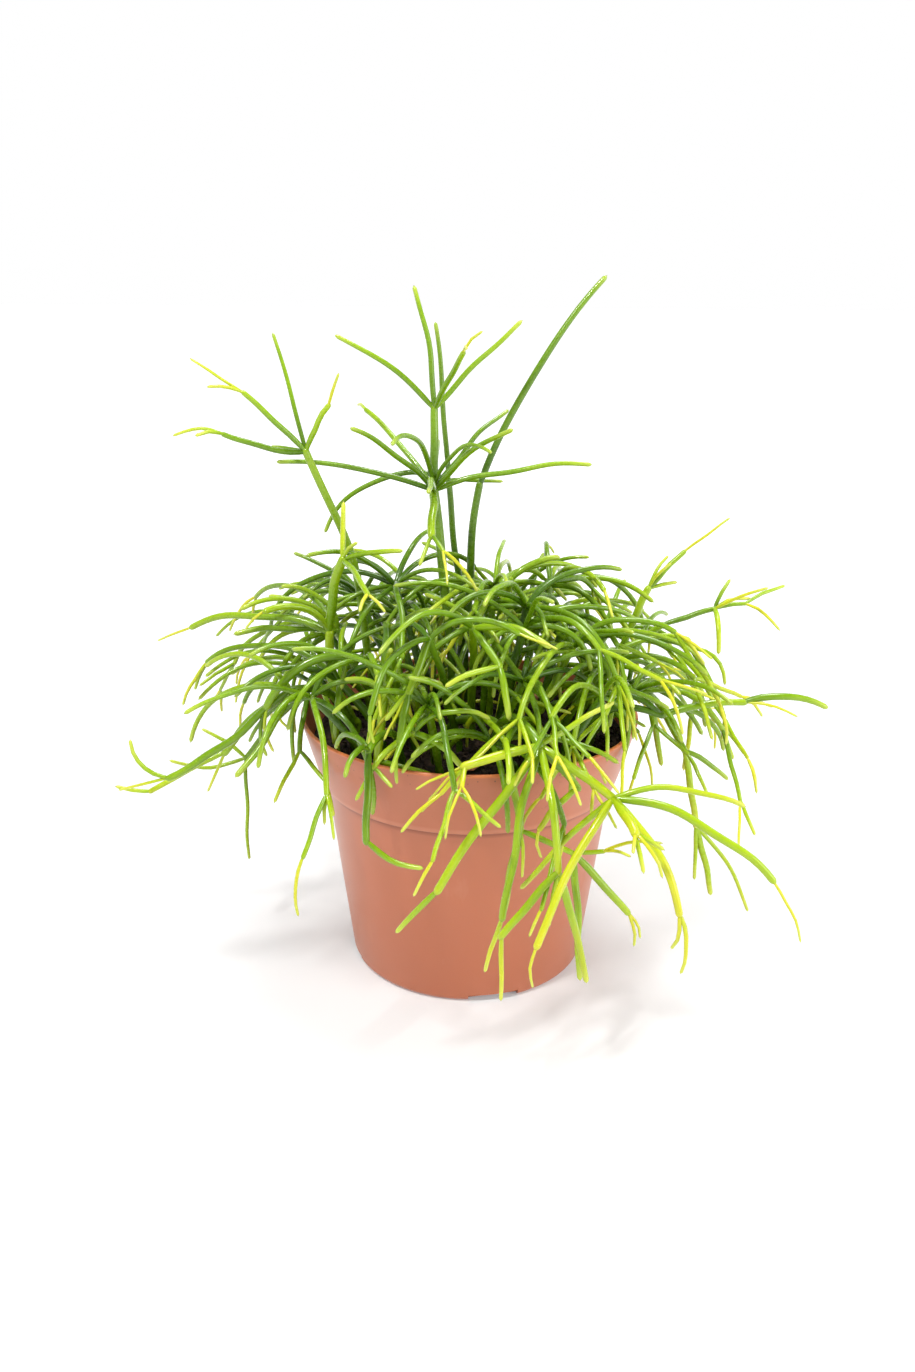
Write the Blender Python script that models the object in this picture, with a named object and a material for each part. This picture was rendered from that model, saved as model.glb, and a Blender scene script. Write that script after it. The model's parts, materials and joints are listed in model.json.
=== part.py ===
# Potted mistletoe cactus: a moulded plastic nursery pot, its peat, bark chips on the
# peat, and many rooted shoots of slender round stems that branch in whorls and arch
# over the rim. The origin is the centre of the pot's underside, with +Z up.

import math
import random

import bmesh
import bpy
import numpy as np
from mathutils import Matrix, Vector

MM = 0.001

# Pot
POT_HEIGHT = 94 * MM
RIM_RADIUS = 60 * MM
COLLAR_HEIGHT = 24 * MM
COLLAR_FLARE = 6.8 * MM  # how much wider the collar is at the rim than at its foot
COLLAR_STEP = 1.5 * MM  # how far the body sits in under the collar
BASE_RADIUS = 43 * MM
BASE_CORNER = 2.5 * MM
WALL = 1.4 * MM
LIP_ROUND = 0.6 * MM
FOOT_WIDTH = 5 * MM
FLOOR_LIFT = 3 * MM  # the drained part of the floor stands this far above the foot ring
PAD_RADIUS = 12 * MM  # flat pad in the middle of the underside
NOTCH_COUNT = 4
NOTCH_WIDTH = 18 * MM
NOTCH_HEIGHT = 2.6 * MM
NOTCH_BEARING = 283  # degrees, the first notch: at the front, a little to the right
HOLE_COUNT = 6
HOLE_RADIUS = 4 * MM
POT_SIDES = 48

# Peat
SOIL_DROP = 9 * MM  # from the rim down to the peat's edge
SOIL_DOME = 2.5 * MM
SOIL_CLEARANCE = 0.4 * MM
SOIL_SIDES = 32
SOCKET_DEPTH = 7 * MM
SOCKET_CLEARANCE = 0.35 * MM
SOCKET_SIDES = 6

# Plant
PLACE_COUNT = 57  # places on the peat for rooted shoots and bark chips
CROWN_SHARE = 0.88  # the shoots fill this much of the peat's radius
STEM_SIDES = 4
STEM_GAP = 0.9 * MM  # between neighbouring stems
FLOOR_GAP = 5 * MM  # between the lowest tip and the surface under the pot
ROOT_RISE = 3 * MM  # a stem stands straight this far out of the peat
JOINT_REACH = 7 * MM  # stems of one shoot may be close within this of their joint
ARC_STEPS = 12
SPAN_LENGTH = 18 * MM
SPAN_BEND = 40  # degrees
JOINT_PINCH = 0.72  # a stem is this much thinner where it joins
TRIES = 46
NUDGE = 4.5  # degrees
FAN_LIFT = 24  # degrees that every second stem of a whorl stands above the others
FAN_STEP = 0.2  # and the share by which it is shorter
GOLDEN_ANGLE = 137.508
EDGE_LEAN = 30  # degrees that a crown shoot leans more at the edge than in the middle
LEAN_PLAY = 6
TURN_PLAY = 50
MIDDLE_HEIGHT = 1.1  # a crown shoot's share of its height in the middle, and at the edge
EDGE_HEIGHT = 0.6
FORK_SPREAD = 80

# How the shoots are described: bearings, slopes and bends in degrees, lengths and radii in mm
RIGHT, BACK, LEFT, FRONT = 0, 90, 180, 270
UPRIGHT, STEEP, SLANTED, LOW, LEVEL, DIPPING, FALLING, HANGING = 88, 70, 48, 22, 2, -22, -46, -72
STRAIGHT, SPRUNG, ARCHED, BOWED = 6, 24, 50, 90
CANE, TALL, LONG, MEDIUM, SHORT, STUB, BUD = 100, 82, 54, 40, 28, 19, 11
STOUT, THICK, COMMON, SLIM, FINE = 1.65, 1.4, 1.2, 0.95, 0.75

COLLAR_FOOT_Z = POT_HEIGHT - COLLAR_HEIGHT
COLLAR_FOOT_RADIUS = RIM_RADIUS - COLLAR_FLARE
BODY_TOP_RADIUS = COLLAR_FOOT_RADIUS - COLLAR_STEP
LEDGE_LOW_Z = COLLAR_FOOT_Z + 0.6 * WALL  # inside, the wall steps out above the collar's foot
LEDGE_HIGH_Z = COLLAR_FOOT_Z + 1.4 * WALL
FOOT_INNER = BASE_RADIUS - FOOT_WIDTH
SOIL_EDGE_Z = POT_HEIGHT - SOIL_DROP

# Radius against height of the pot's outer and inner faces, from the base up
OUTER_Z = (BASE_CORNER, COLLAR_FOOT_Z, COLLAR_FOOT_Z, POT_HEIGHT)
OUTER_R = (BASE_RADIUS, BODY_TOP_RADIUS, COLLAR_FOOT_RADIUS, RIM_RADIUS)
INNER_Z = (BASE_CORNER, LEDGE_LOW_Z, LEDGE_HIGH_Z, POT_HEIGHT)
INNER_R = tuple(radius - WALL for radius in OUTER_R)


def inner_radius(z):
    return float(np.interp(z, INNER_Z, INNER_R))


SOIL_RADIUS = inner_radius(SOIL_EDGE_Z) - SOIL_CLEARANCE


def soil_height(radius):
    return SOIL_EDGE_Z + SOIL_DOME * (1 - (radius / SOIL_RADIUS) ** 2)


# ---- general shapes and materials ----


def clear_scene():
    for obj in list(bpy.data.objects):
        bpy.data.objects.remove(obj, do_unlink=True)


def material(name, color, roughness):
    made = bpy.data.materials.new(name)
    made.use_nodes = True
    shader = made.node_tree.nodes["Principled BSDF"]
    shader.inputs["Base Color"].default_value = (*color, 1)
    shader.inputs["Roughness"].default_value = roughness
    shader.inputs["Metallic"].default_value = 0
    made.diffuse_color = (*color, 1)
    return made


def add_object(name, bm, look=None, parent=None, place=(0, 0, 0)):
    mesh = bpy.data.meshes.new(name)
    bmesh.ops.recalc_face_normals(bm, faces=bm.faces)
    bm.to_mesh(mesh)
    bm.free()
    mesh.shade_smooth()
    mesh.set_sharp_from_angle(angle=math.radians(50))
    obj = bpy.data.objects.new(name, mesh)
    obj.location = place
    obj.parent = parent
    if look:
        mesh.materials.append(look)
    bpy.context.scene.collection.objects.link(obj)
    return obj


def make_helper(obj):
    obj.hide_render = True
    obj.display_type = "WIRE"


def combine(obj, helper, operation, solver="EXACT"):
    make_helper(helper)
    step = obj.modifiers.new(operation.lower(), "BOOLEAN")
    step.operation = operation
    step.solver = solver
    step.object = helper


def settle(obj, helpers):
    """Makes the modifiers' result the object's own mesh and clears their helpers away."""
    graph = bpy.context.evaluated_depsgraph_get()
    obj.data = bpy.data.meshes.new_from_object(obj.evaluated_get(graph))
    obj.modifiers.clear()
    for helper in helpers:
        bpy.data.objects.remove(helper, do_unlink=True)


def bridge(bm, lower, upper):
    """Faces between two rings, either of which may be a single point."""
    count = max(len(lower), len(upper))
    for i in range(count):
        k = (i + 1) % count
        below = [lower[i % len(lower)], lower[k % len(lower)]]
        above = [upper[k % len(upper)], upper[i % len(upper)]]
        bm.faces.new(list(dict.fromkeys(below + above)))


def turned(profile, sides):
    """A solid of revolution about Z. The profile runs from the axis to the axis."""
    bm = bmesh.new()
    rings = []
    for radius, z in profile:
        count = sides if radius > 0 else 1
        turns = [math.tau * i / sides for i in range(count)]
        rings.append([bm.verts.new((radius * math.cos(a), radius * math.sin(a), z)) for a in turns])
    for lower, upper in zip(rings, rings[1:]):
        bridge(bm, lower, upper)
    return bm


def rounded(center, radius, start, end, steps):
    """Points on an arc, with angles in degrees."""
    angles = [math.radians(start + (end - start) * i / steps) for i in range(steps + 1)]
    return [(center[0] + radius * math.cos(a), center[1] + radius * math.sin(a)) for a in angles]


def polar(radius, bearing, z=0.0):
    a = math.radians(bearing)
    return Vector((radius * math.cos(a), radius * math.sin(a), z))


# ---- pot ----


def pot_profile():
    slope = WALL * 0.5
    foot = [
        (0, 0),
        (PAD_RADIUS, 0),
        (PAD_RADIUS + slope, FLOOR_LIFT),
        (FOOT_INNER - slope, FLOOR_LIFT),
        (FOOT_INNER, 0),
    ]
    corner = rounded((BASE_RADIUS - BASE_CORNER, BASE_CORNER), BASE_CORNER, -90, 0, 3)
    collar = [
        (BODY_TOP_RADIUS, COLLAR_FOOT_Z),
        (COLLAR_FOOT_RADIUS, COLLAR_FOOT_Z),
    ]
    lip = rounded((RIM_RADIUS - LIP_ROUND, POT_HEIGHT - LIP_ROUND), LIP_ROUND, 0, 90, 2)
    lip += rounded((RIM_RADIUS - WALL + LIP_ROUND, POT_HEIGHT - LIP_ROUND), LIP_ROUND, 90, 180, 2)
    inside = [
        (COLLAR_FOOT_RADIUS - WALL, LEDGE_HIGH_Z),
        (BODY_TOP_RADIUS - WALL, LEDGE_LOW_Z),
        (BASE_RADIUS - WALL, BASE_CORNER),
    ]
    inner_foot = FOOT_INNER + WALL * 0.8
    floor = [
        (BASE_RADIUS - BASE_CORNER, WALL),
        (inner_foot, WALL),
        (inner_foot - slope, FLOOR_LIFT + WALL),
        (PAD_RADIUS - WALL * 0.2, FLOOR_LIFT + WALL),
        (PAD_RADIUS - WALL * 0.8, WALL),
        (0, WALL),
    ]
    return foot + corner + collar + lip + inside + floor


def pot_cutters():
    """Drain holes through the raised floor, and notches through the foot ring."""
    bm = bmesh.new()
    ring_radius = (PAD_RADIUS + FOOT_INNER) / 2
    for i in range(HOLE_COUNT):
        place = polar(ring_radius, NOTCH_BEARING + 360 * (i + 0.5) / HOLE_COUNT, FLOOR_LIFT)
        bmesh.ops.create_cone(
            bm, cap_ends=True, segments=16, radius1=HOLE_RADIUS, radius2=HOLE_RADIUS,
            depth=6 * WALL, matrix=Matrix.Translation(place),
        )
    reach = FOOT_WIDTH * 0.8
    for i in range(NOTCH_COUNT):
        bearing = NOTCH_BEARING + 360 * i / NOTCH_COUNT
        block = Matrix.Translation(polar(BASE_RADIUS, bearing))
        block @= Matrix.Rotation(math.radians(bearing), 4, "Z")
        block @= Matrix.Diagonal((2 * reach, NOTCH_WIDTH, 2 * NOTCH_HEIGHT, 1))
        bmesh.ops.create_cube(bm, size=1, matrix=block)
    return bm


def build_pot(parent):
    look = material("terracotta_plastic", (0.58, 0.19, 0.115), 0.42)
    pot = add_object("pot", turned(pot_profile(), POT_SIDES), look, parent)
    combine(pot, add_object("pot_cutters", pot_cutters(), parent=pot), "DIFFERENCE")


# ---- places on the peat ----


def place_on_peat(number):
    """Places fill the peat evenly, as seeds fill a sunflower, from the middle outwards."""
    share = math.sqrt((number + 0.5) / PLACE_COUNT)
    return polar(SOIL_RADIUS * CROWN_SHARE * share, GOLDEN_ANGLE * number)


def build_soil(parent, roots):
    floor_z = FLOOR_LIFT + WALL + SOIL_CLEARANCE
    steps = 5
    side = [(inner_radius(z) - SOIL_CLEARANCE, z) for z in (floor_z, INNER_Z[1], INNER_Z[2], SOIL_EDGE_Z)]
    radii = [SOIL_RADIUS * (1 - i / steps) for i in range(1, steps + 1)]
    top = [(radius, soil_height(radius)) for radius in radii]
    look = material("peat", (0.022, 0.013, 0.009), 0.95)
    soil = add_object("potting_soil", turned([(0, floor_z)] + side + top, SOIL_SIDES), look, parent)
    bm = bmesh.new()
    for root, girth in roots:
        depth = 2 * SOCKET_DEPTH
        radius = (girth + SOCKET_CLEARANCE) / math.cos(math.pi / SOCKET_SIDES)
        place = Matrix.Translation(Vector((root.x, root.y, soil_height(root.length))))
        bmesh.ops.create_cone(
            bm, cap_ends=True, segments=SOCKET_SIDES, radius1=radius, radius2=radius,
            depth=depth, matrix=place,
        )
    combine(soil, add_object("root_sockets", bm, parent=soil), "DIFFERENCE")


# ---- growth ----


def stem(heading, rise, length, sag, girth, then=()):
    """One stem in degrees and mm. It sets out at rise and has dropped by sag at its tip."""
    return [dict(heading=heading, rise=rise, length=length, sag=sag, girth=girth, then=list(then))]


def whorl(count, heading, spread, rise, length, sag, girth, then=()):
    """Stems from one joint, evenly spread about a heading. Every second one is raised and shorter."""
    stems = []
    for i in range(count):
        share = i / count if spread == 360 else i / max(count - 1, 1) - 0.5
        raised = i % 2
        size = length * (1 - FAN_STEP * raised)
        stems += stem(heading + spread * share, rise + FAN_LIFT * raised, size, sag, girth, then)
    return stems


def arc_line(start, heading, rise, length, sag):
    """Points along a stem that bends in the upright plane of its heading."""
    share = (np.arange(ARC_STEPS) + 0.5) / ARC_STEPS
    slope = np.radians(rise - sag * share)
    turn = math.radians(heading)
    step = np.stack([np.cos(slope) * math.cos(turn), np.cos(slope) * math.sin(turn), np.sin(slope)], axis=1)
    return np.vstack([start, start + np.cumsum(step * length / ARC_STEPS, axis=0)])


def clear_of_pot(line, girth):
    """True where a stem is above the rim, outside the pot, or inside it above the peat."""
    gap = girth + STEM_GAP
    radius = np.hypot(line[:, 0], line[:, 1])
    z = line[:, 2]
    above = z > POT_HEIGHT + gap
    outside = radius > np.interp(z, OUTER_Z, OUTER_R) + gap
    peat = SOIL_EDGE_Z + SOIL_DOME * (1 - (radius / SOIL_RADIUS) ** 2)
    inside = (radius < np.interp(z, INNER_Z, INNER_R) - gap) & (z > peat + gap)
    return bool((above | outside | inside).all() and z.min() > girth + FLOOR_GAP)


class Thicket:
    """Every stem grown so far, as points along its centre line, for the next to keep clear of."""

    def __init__(self):
        self.points = np.empty((0, 3))
        self.girths = np.empty(0)
        self.owners = np.empty(0, int)

    def add(self, line, girth, owner):
        self.points = np.vstack([self.points, line])
        self.girths = np.append(self.girths, np.full(len(line), girth))
        self.owners = np.append(self.owners, np.full(len(line), owner))

    def clear(self, line, girth, owner):
        reach = girth + STEM_GAP + STOUT * MM
        over = self.points > line.min(axis=0) - reach
        under = self.points < line.max(axis=0) + reach
        near = (over & under).all(axis=1)
        points = self.points[near]
        wanted = self.girths[near] + girth + STEM_GAP
        family = self.owners[near] == owner
        gaps = np.linalg.norm(points[:, None] - line[None], axis=2)
        joint = line[0]
        around = np.linalg.norm(points - joint, axis=1) < JOINT_REACH
        leaving = np.linalg.norm(line - joint, axis=1) < JOINT_REACH
        allowed = (family & around)[:, None] & leaving[None]
        return bool(((gaps > wanted[:, None]) | allowed).all())


def dense(line):
    """The same line with points between its own, close enough for the clearance test."""
    between = (line[:-1] + line[1:]) / 2
    mixed = np.empty((len(line) + len(between), 3))
    mixed[0::2] = line
    mixed[1::2] = between
    return mixed


def grow_stem(thicket, start, plan, owner, chance):
    """The planned stem, or the nearest to it that is free: turned, raised and a little shorter."""
    girth = plan["girth"] * MM
    for attempt in range(TRIES):
        reach = NUDGE * math.sqrt(attempt)
        heading = plan["heading"] + chance.uniform(-1, 1) * reach * 1.5
        rise = plan["rise"] + chance.uniform(-0.7, 1) * reach
        length = plan["length"] * (1 - 0.01 * attempt) * MM
        line = arc_line(start, heading, rise, length, plan["sag"])
        if clear_of_pot(line, girth) and thicket.clear(dense(line), girth, owner):
            thicket.add(dense(line), girth, owner)
            return line
    return None


def upright_stub(start, girth):
    """What a crowded place still holds: a short straight stem."""
    return arc_line(start, 0, 90, 4 * girth, 0)


def grow_plant(shoots):
    """Grows all rooted stems, then all first branches, and so on. Gives each shoot's list of lines."""
    thicket = Thicket()
    chances = [random.Random(number) for number in range(len(shoots))]
    grown = [[] for _ in shoots]
    tips = []
    for owner, (_, place, plan) in enumerate(shoots):
        root = place_on_peat(place)
        start = np.array([root.x, root.y, soil_height(root.length) + ROOT_RISE])
        line = grow_stem(thicket, start, plan, owner, chances[owner])
        if line is None:
            line = upright_stub(start, plan["girth"] * MM)
            thicket.add(dense(line), plan["girth"] * MM, owner)
        grown[owner].append((line, plan["girth"] * MM))
        tips.append((owner, line, plan))
    while tips:
        fresh = []
        for owner, line, plan in tips:
            back = (line[-1] - line[-2]) / np.linalg.norm(line[-1] - line[-2])
            joint = line[-1] - back * plan["girth"] * MM * 0.6
            for branch in plan["then"]:
                branch_line = grow_stem(thicket, joint, branch, owner, chances[owner])
                if branch_line is not None:
                    grown[owner].append((branch_line, branch["girth"] * MM))
                    fresh.append((owner, branch_line, branch))
        tips = fresh
    return grown


# ---- shoots ----
# Headings are bearings from +X towards +Y, so FRONT looks along -Y.


def tall_wand():
    return stem(RIGHT, UPRIGHT, TALL, STRAIGHT, THICK, stem(RIGHT + 15, STEEP, TALL, SPRUNG, COMMON))


def mast():
    crown = stem(LEFT, SLANTED, MEDIUM, SPRUNG, SLIM) + stem(LEFT - 45, UPRIGHT, MEDIUM, SPRUNG, SLIM)
    crown += stem(FRONT + 30, SLANTED, SHORT, STRAIGHT, SLIM) + stem(RIGHT, SLANTED, MEDIUM, STRAIGHT, SLIM)
    leader = stem(BACK, UPRIGHT, SHORT, STRAIGHT, THICK, crown)
    ring = whorl(8, RIGHT, 360, LOW, LONG, SPRUNG, SLIM)
    arched = stem(LEFT + 60, STEEP, LONG, BOWED, SLIM) + stem(RIGHT - 60, STEEP, MEDIUM, BOWED, FINE)
    droop = stem(FRONT, LEVEL, SHORT, ARCHED, THICK, whorl(2, FRONT, 60, FALLING, BUD, STRAIGHT, FINE))
    return stem(LEFT, UPRIGHT, TALL, STRAIGHT, STOUT, leader + ring + arched + droop)


def slim_mast():
    leader = stem(LEFT, UPRIGHT, LONG, STRAIGHT, SLIM)
    sides = stem(LEFT, LOW, LONG, BOWED, SLIM) + stem(RIGHT, LEVEL, STUB, STRAIGHT, FINE)
    return stem(LEFT, UPRIGHT, TALL, STRAIGHT, COMMON, leader + sides)


def candelabra():
    arms = stem(LEFT + 15, LEVEL, SHORT, -SPRUNG, SLIM) + stem(LEFT + 15, SLANTED, SHORT, STRAIGHT, SLIM)
    arms += stem(LEFT - 45, STEEP, MEDIUM, STRAIGHT, FINE) + stem(RIGHT - 30, STEEP, STUB, SPRUNG, SLIM)
    arms += stem(LEFT - 45, LEVEL, STUB, STRAIGHT, FINE)
    return stem(LEFT + 30, UPRIGHT, CANE, SPRUNG, THICK, arms)


def bow():
    tops = stem(BACK, STEEP, STUB, STRAIGHT, SLIM) + whorl(2, RIGHT - 45, 45, LEVEL, SHORT, SPRUNG, SLIM)
    upper = stem(RIGHT - 30, UPRIGHT, SHORT, SPRUNG, STOUT, tops)
    upper += stem(LEFT + 30, STEEP, SHORT, BOWED, COMMON) + stem(LEFT - 15, LOW, LONG, ARCHED, COMMON)
    return stem(LEFT + 45, SLANTED, MEDIUM, -ARCHED, STOUT, upper)


def elbow():
    feet = stem(LEFT, DIPPING, MEDIUM, STRAIGHT, SLIM) + stem(LEFT + 30, DIPPING, SHORT, SPRUNG, COMMON)
    feet += stem(RIGHT - 30, DIPPING, SHORT, STRAIGHT, COMMON)
    knee = stem(FRONT - 30, HANGING, SHORT, STRAIGHT, THICK, feet)
    knee += stem(RIGHT - 45, UPRIGHT, SHORT, ARCHED, SLIM)
    knee += stem(LEFT + 60, LOW, STUB, BOWED, SLIM) + stem(RIGHT - 15, LOW, STUB, ARCHED, COMMON)
    outer = stem(FRONT, HANGING, STUB, STRAIGHT, THICK, knee)
    return stem(FRONT - 15, SLANTED, LONG, -SPRUNG, THICK, outer)


def wishbone():
    left = stem(LEFT + 45, LEVEL, STUB, ARCHED, SLIM, whorl(2, FRONT, 90, FALLING, BUD, STRAIGHT, FINE))
    right = stem(RIGHT - 30, LEVEL, STUB, ARCHED, COMMON)
    right += whorl(2, BACK, 120, SLANTED, MEDIUM, BOWED, SLIM)
    return stem(FRONT - 15, SLANTED, SHORT, SPRUNG, COMMON, left + right)


def rosette():
    young = whorl(2, FRONT - 45, 60, FALLING, BUD, STRAIGHT, FINE)
    knot = stem(LEFT, FALLING, SHORT, STRAIGHT, COMMON, stem(FRONT, HANGING, STUB, STRAIGHT, FINE))
    knot += stem(LEFT + 30, HANGING, STUB, STRAIGHT, FINE)
    knot += stem(RIGHT + 15, HANGING, MEDIUM, STRAIGHT, COMMON)
    left = stem(LEFT + 15, LEVEL, SHORT, STRAIGHT, THICK, young)
    left += stem(LEFT + 30, FALLING, LONG, STRAIGHT, THICK, stem(LEFT, FALLING, STUB, STRAIGHT, SLIM))
    left += stem(LEFT + 60, FALLING, LONG, SPRUNG, COMMON, stem(LEFT, HANGING, STUB, STRAIGHT, FINE))
    left += stem(FRONT - 15, FALLING, LONG, ARCHED, COMMON, knot)
    spray = stem(RIGHT, LOW, MEDIUM, ARCHED, SLIM) + stem(RIGHT - 15, LEVEL, LONG, ARCHED, COMMON)
    spray += stem(RIGHT - 45, DIPPING, MEDIUM, ARCHED, COMMON)
    buds = whorl(2, FRONT + 45, 60, FALLING, BUD, STRAIGHT, FINE)
    spray += stem(FRONT + 15, LEVEL, STUB, SPRUNG, THICK, buds)
    spray += stem(FRONT - 60, FALLING, LONG, SPRUNG, COMMON) + stem(LEFT, FALLING, MEDIUM, STRAIGHT, SLIM)
    right = stem(RIGHT - 30, DIPPING, SHORT, STRAIGHT, THICK, spray)
    right += stem(RIGHT, FALLING, STUB, STRAIGHT, COMMON, stem(LEFT, FALLING, STUB, SPRUNG, SLIM))
    right += stem(RIGHT + 30, LOW, SHORT, STRAIGHT, SLIM)
    outer = stem(FRONT + 30, SLANTED, SHORT, BOWED, STOUT, left + right)
    return stem(FRONT + 30, SLANTED, MEDIUM, ARCHED, STOUT, outer)


def fork():
    tips = stem(FRONT + 15, HANGING, MEDIUM, STRAIGHT, COMMON)
    tips += stem(RIGHT, FALLING, SHORT, STRAIGHT, COMMON) + stem(RIGHT - 30, LOW, BUD, STRAIGHT, FINE)
    lower = stem(FRONT - 45, HANGING, SHORT, STRAIGHT, COMMON)
    lower += stem(RIGHT, DIPPING, STUB, STRAIGHT, SLIM, tips)
    outer = stem(FRONT + 45, HANGING, SHORT, STRAIGHT, COMMON, lower)
    outer += whorl(2, LEFT, 180, LOW, MEDIUM, BOWED, SLIM)
    return stem(FRONT - 15, STEEP, MEDIUM, BOWED, COMMON, outer)


def front_loop():
    lower = stem(RIGHT - 15, FALLING, STUB, -ARCHED, SLIM)
    outer = stem(FRONT, FALLING, SHORT, SPRUNG, COMMON, lower)
    outer += whorl(2, LEFT, 150, LOW, SHORT, BOWED, SLIM)
    return stem(FRONT - 15, STEEP, MEDIUM, BOWED, COMMON, outer)


def trailing_left():
    ends = stem(FRONT, HANGING, MEDIUM, SPRUNG, FINE) + stem(LEFT + 15, DIPPING, SHORT, -ARCHED, FINE)
    ends += stem(LEFT, SLANTED, STUB, SPRUNG, FINE)
    arms = stem(LEFT, FALLING, MEDIUM, STRAIGHT, SLIM, ends) + stem(LEFT - 30, LOW, MEDIUM, BOWED, SLIM)
    return stem(LEFT + 30, STEEP, SHORT, BOWED, COMMON, arms)


def long_arc():
    middle = stem(LEFT + 15, FALLING, MEDIUM, -SPRUNG, COMMON, stem(LEFT, LEVEL, STUB, -BOWED, FINE))
    upper = stem(LEFT + 15, LOW, MEDIUM, BOWED, THICK, middle)
    upper += whorl(2, FRONT, 120, LOW, MEDIUM, BOWED, SLIM)
    return stem(FRONT - 45, STEEP, MEDIUM, STRAIGHT, THICK, upper)


def low_sweep():
    end = stem(LEFT + 15, DIPPING, SHORT, STRAIGHT, SLIM, stem(LEFT + 15, LEVEL, BUD, -SPRUNG, FINE))
    low = stem(LEFT + 15, DIPPING, MEDIUM, SPRUNG, THICK, end)
    low += stem(LEFT + 30, FALLING, MEDIUM, -SPRUNG, COMMON) + stem(LEFT, LOW, LONG, BOWED, SLIM)
    low += stem(LEFT - 30, SLANTED, MEDIUM, BOWED, SLIM)
    return stem(LEFT + 45, UPRIGHT, MEDIUM, BOWED, THICK, low)


def left_fan():
    arms = stem(LEFT + 15, UPRIGHT, SHORT, BOWED, SLIM) + stem(LEFT + 15, LOW, MEDIUM, SPRUNG, COMMON)
    arms += stem(LEFT + 30, LOW, MEDIUM, BOWED, SLIM) + stem(LEFT + 60, LEVEL, MEDIUM, ARCHED, SLIM)
    arms += stem(LEFT - 15, SLANTED, SHORT, ARCHED, SLIM)
    arms += whorl(2, LEFT - 15, 60, SLANTED, LONG, BOWED, SLIM)
    return stem(LEFT + 15, SLANTED, MEDIUM, -SPRUNG, THICK, arms)


def crook():
    end = stem(RIGHT - 15, FALLING, SHORT, -ARCHED, COMMON)
    arms = stem(FRONT - 15, FALLING, SHORT, ARCHED, COMMON, end)
    arms += whorl(3, BACK, 240, SLANTED, MEDIUM, BOWED, SLIM)
    arms += whorl(2, LEFT + 15, 60, SLANTED, LONG, BOWED, SLIM)
    return stem(LEFT + 15, STEEP, SHORT, SPRUNG, THICK, arms)


def right_hanger():
    ends = stem(RIGHT, HANGING, SHORT, STRAIGHT, COMMON) + stem(RIGHT, FALLING, MEDIUM, SPRUNG, FINE)
    ends += stem(FRONT, HANGING, STUB, STRAIGHT, FINE)
    middle = stem(RIGHT - 45, HANGING, SHORT, STRAIGHT, COMMON, ends)
    middle += stem(RIGHT, DIPPING, STUB, SPRUNG, SLIM)
    arms = stem(RIGHT - 30, HANGING, SHORT, STRAIGHT, COMMON)
    arms += stem(RIGHT - 60, DIPPING, SHORT, SPRUNG, COMMON, middle)
    bent = stem(RIGHT - 15, FALLING, SHORT, SPRUNG, SLIM) + stem(FRONT - 30, HANGING, SHORT, STRAIGHT, SLIM)
    arms += stem(RIGHT, LOW, STUB, ARCHED, COMMON, bent)
    return stem(RIGHT - 15, SLANTED, SHORT, ARCHED, THICK, arms)


def horizon():
    outer = stem(RIGHT, LOW, SHORT, SPRUNG, COMMON, stem(RIGHT, LOW, SHORT, ARCHED, COMMON))
    outer += whorl(2, BACK, 150, LOW, MEDIUM, BOWED, SLIM)
    return stem(RIGHT - 15, STEEP, MEDIUM, BOWED, COMMON, outer)


def flag():
    ends = stem(RIGHT + 15, SLANTED, STUB, STRAIGHT, SLIM) + stem(RIGHT + 15, LOW, BUD, SPRUNG, FINE)
    return stem(RIGHT, LOW, MEDIUM, -ARCHED, THICK, stem(RIGHT + 15, STEEP, STUB, STRAIGHT, THICK, ends))


def antler():
    ends = stem(RIGHT, LOW, BUD, SPRUNG, FINE) + stem(RIGHT + 30, STEEP, BUD, SPRUNG, FINE)
    ends += stem(FRONT, LEVEL, STUB, BOWED, SLIM)
    return stem(RIGHT - 15, SLANTED, LONG, STRAIGHT, COMMON, stem(RIGHT, LOW, STUB, STRAIGHT, SLIM, ends))


def cascade():
    lower = stem(RIGHT - 15, LEVEL, STUB, BOWED, FINE) + stem(RIGHT - 60, FALLING, SHORT, SPRUNG, SLIM)
    arms = stem(RIGHT - 15, LOW, STUB, ARCHED, COMMON, lower) + stem(RIGHT - 45, LOW, SHORT, BOWED, SLIM)
    return stem(RIGHT - 15, STEEP, MEDIUM, SPRUNG, COMMON, arms)


def perch():
    tops = stem(FRONT - 30, LEVEL, SHORT, ARCHED, THICK) + stem(RIGHT + 15, SLANTED, STUB, ARCHED, COMMON)
    tops += stem(FRONT + 30, DIPPING, SHORT, STRAIGHT, SLIM)
    return stem(FRONT + 30, UPRIGHT, LONG, SPRUNG, THICK, tops)


def centre_piece():
    lower = stem(RIGHT - 45, FALLING, STUB, SPRUNG, COMMON) + stem(LEFT + 30, LEVEL, STUB, SPRUNG, SLIM)
    arms = stem(RIGHT - 30, LOW, SHORT, ARCHED, COMMON)
    arms += stem(FRONT + 30, DIPPING, STUB, STRAIGHT, COMMON, lower)
    arms += whorl(2, LEFT, 90, LOW, LONG, BOWED, SLIM)
    return stem(FRONT, STEEP, LONG, SPRUNG, THICK, arms)


def pale_fork():
    lower = stem(LEFT + 60, HANGING, STUB, STRAIGHT, COMMON) + stem(LEFT + 15, FALLING, BUD, STRAIGHT, SLIM)
    arms = stem(LEFT + 60, FALLING, STUB, STRAIGHT, COMMON, lower)
    arms += whorl(3, RIGHT, 240, LOW, MEDIUM, BOWED, SLIM)
    return stem(FRONT - 15, STEEP, LONG, STRAIGHT, COMMON, arms)


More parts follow.
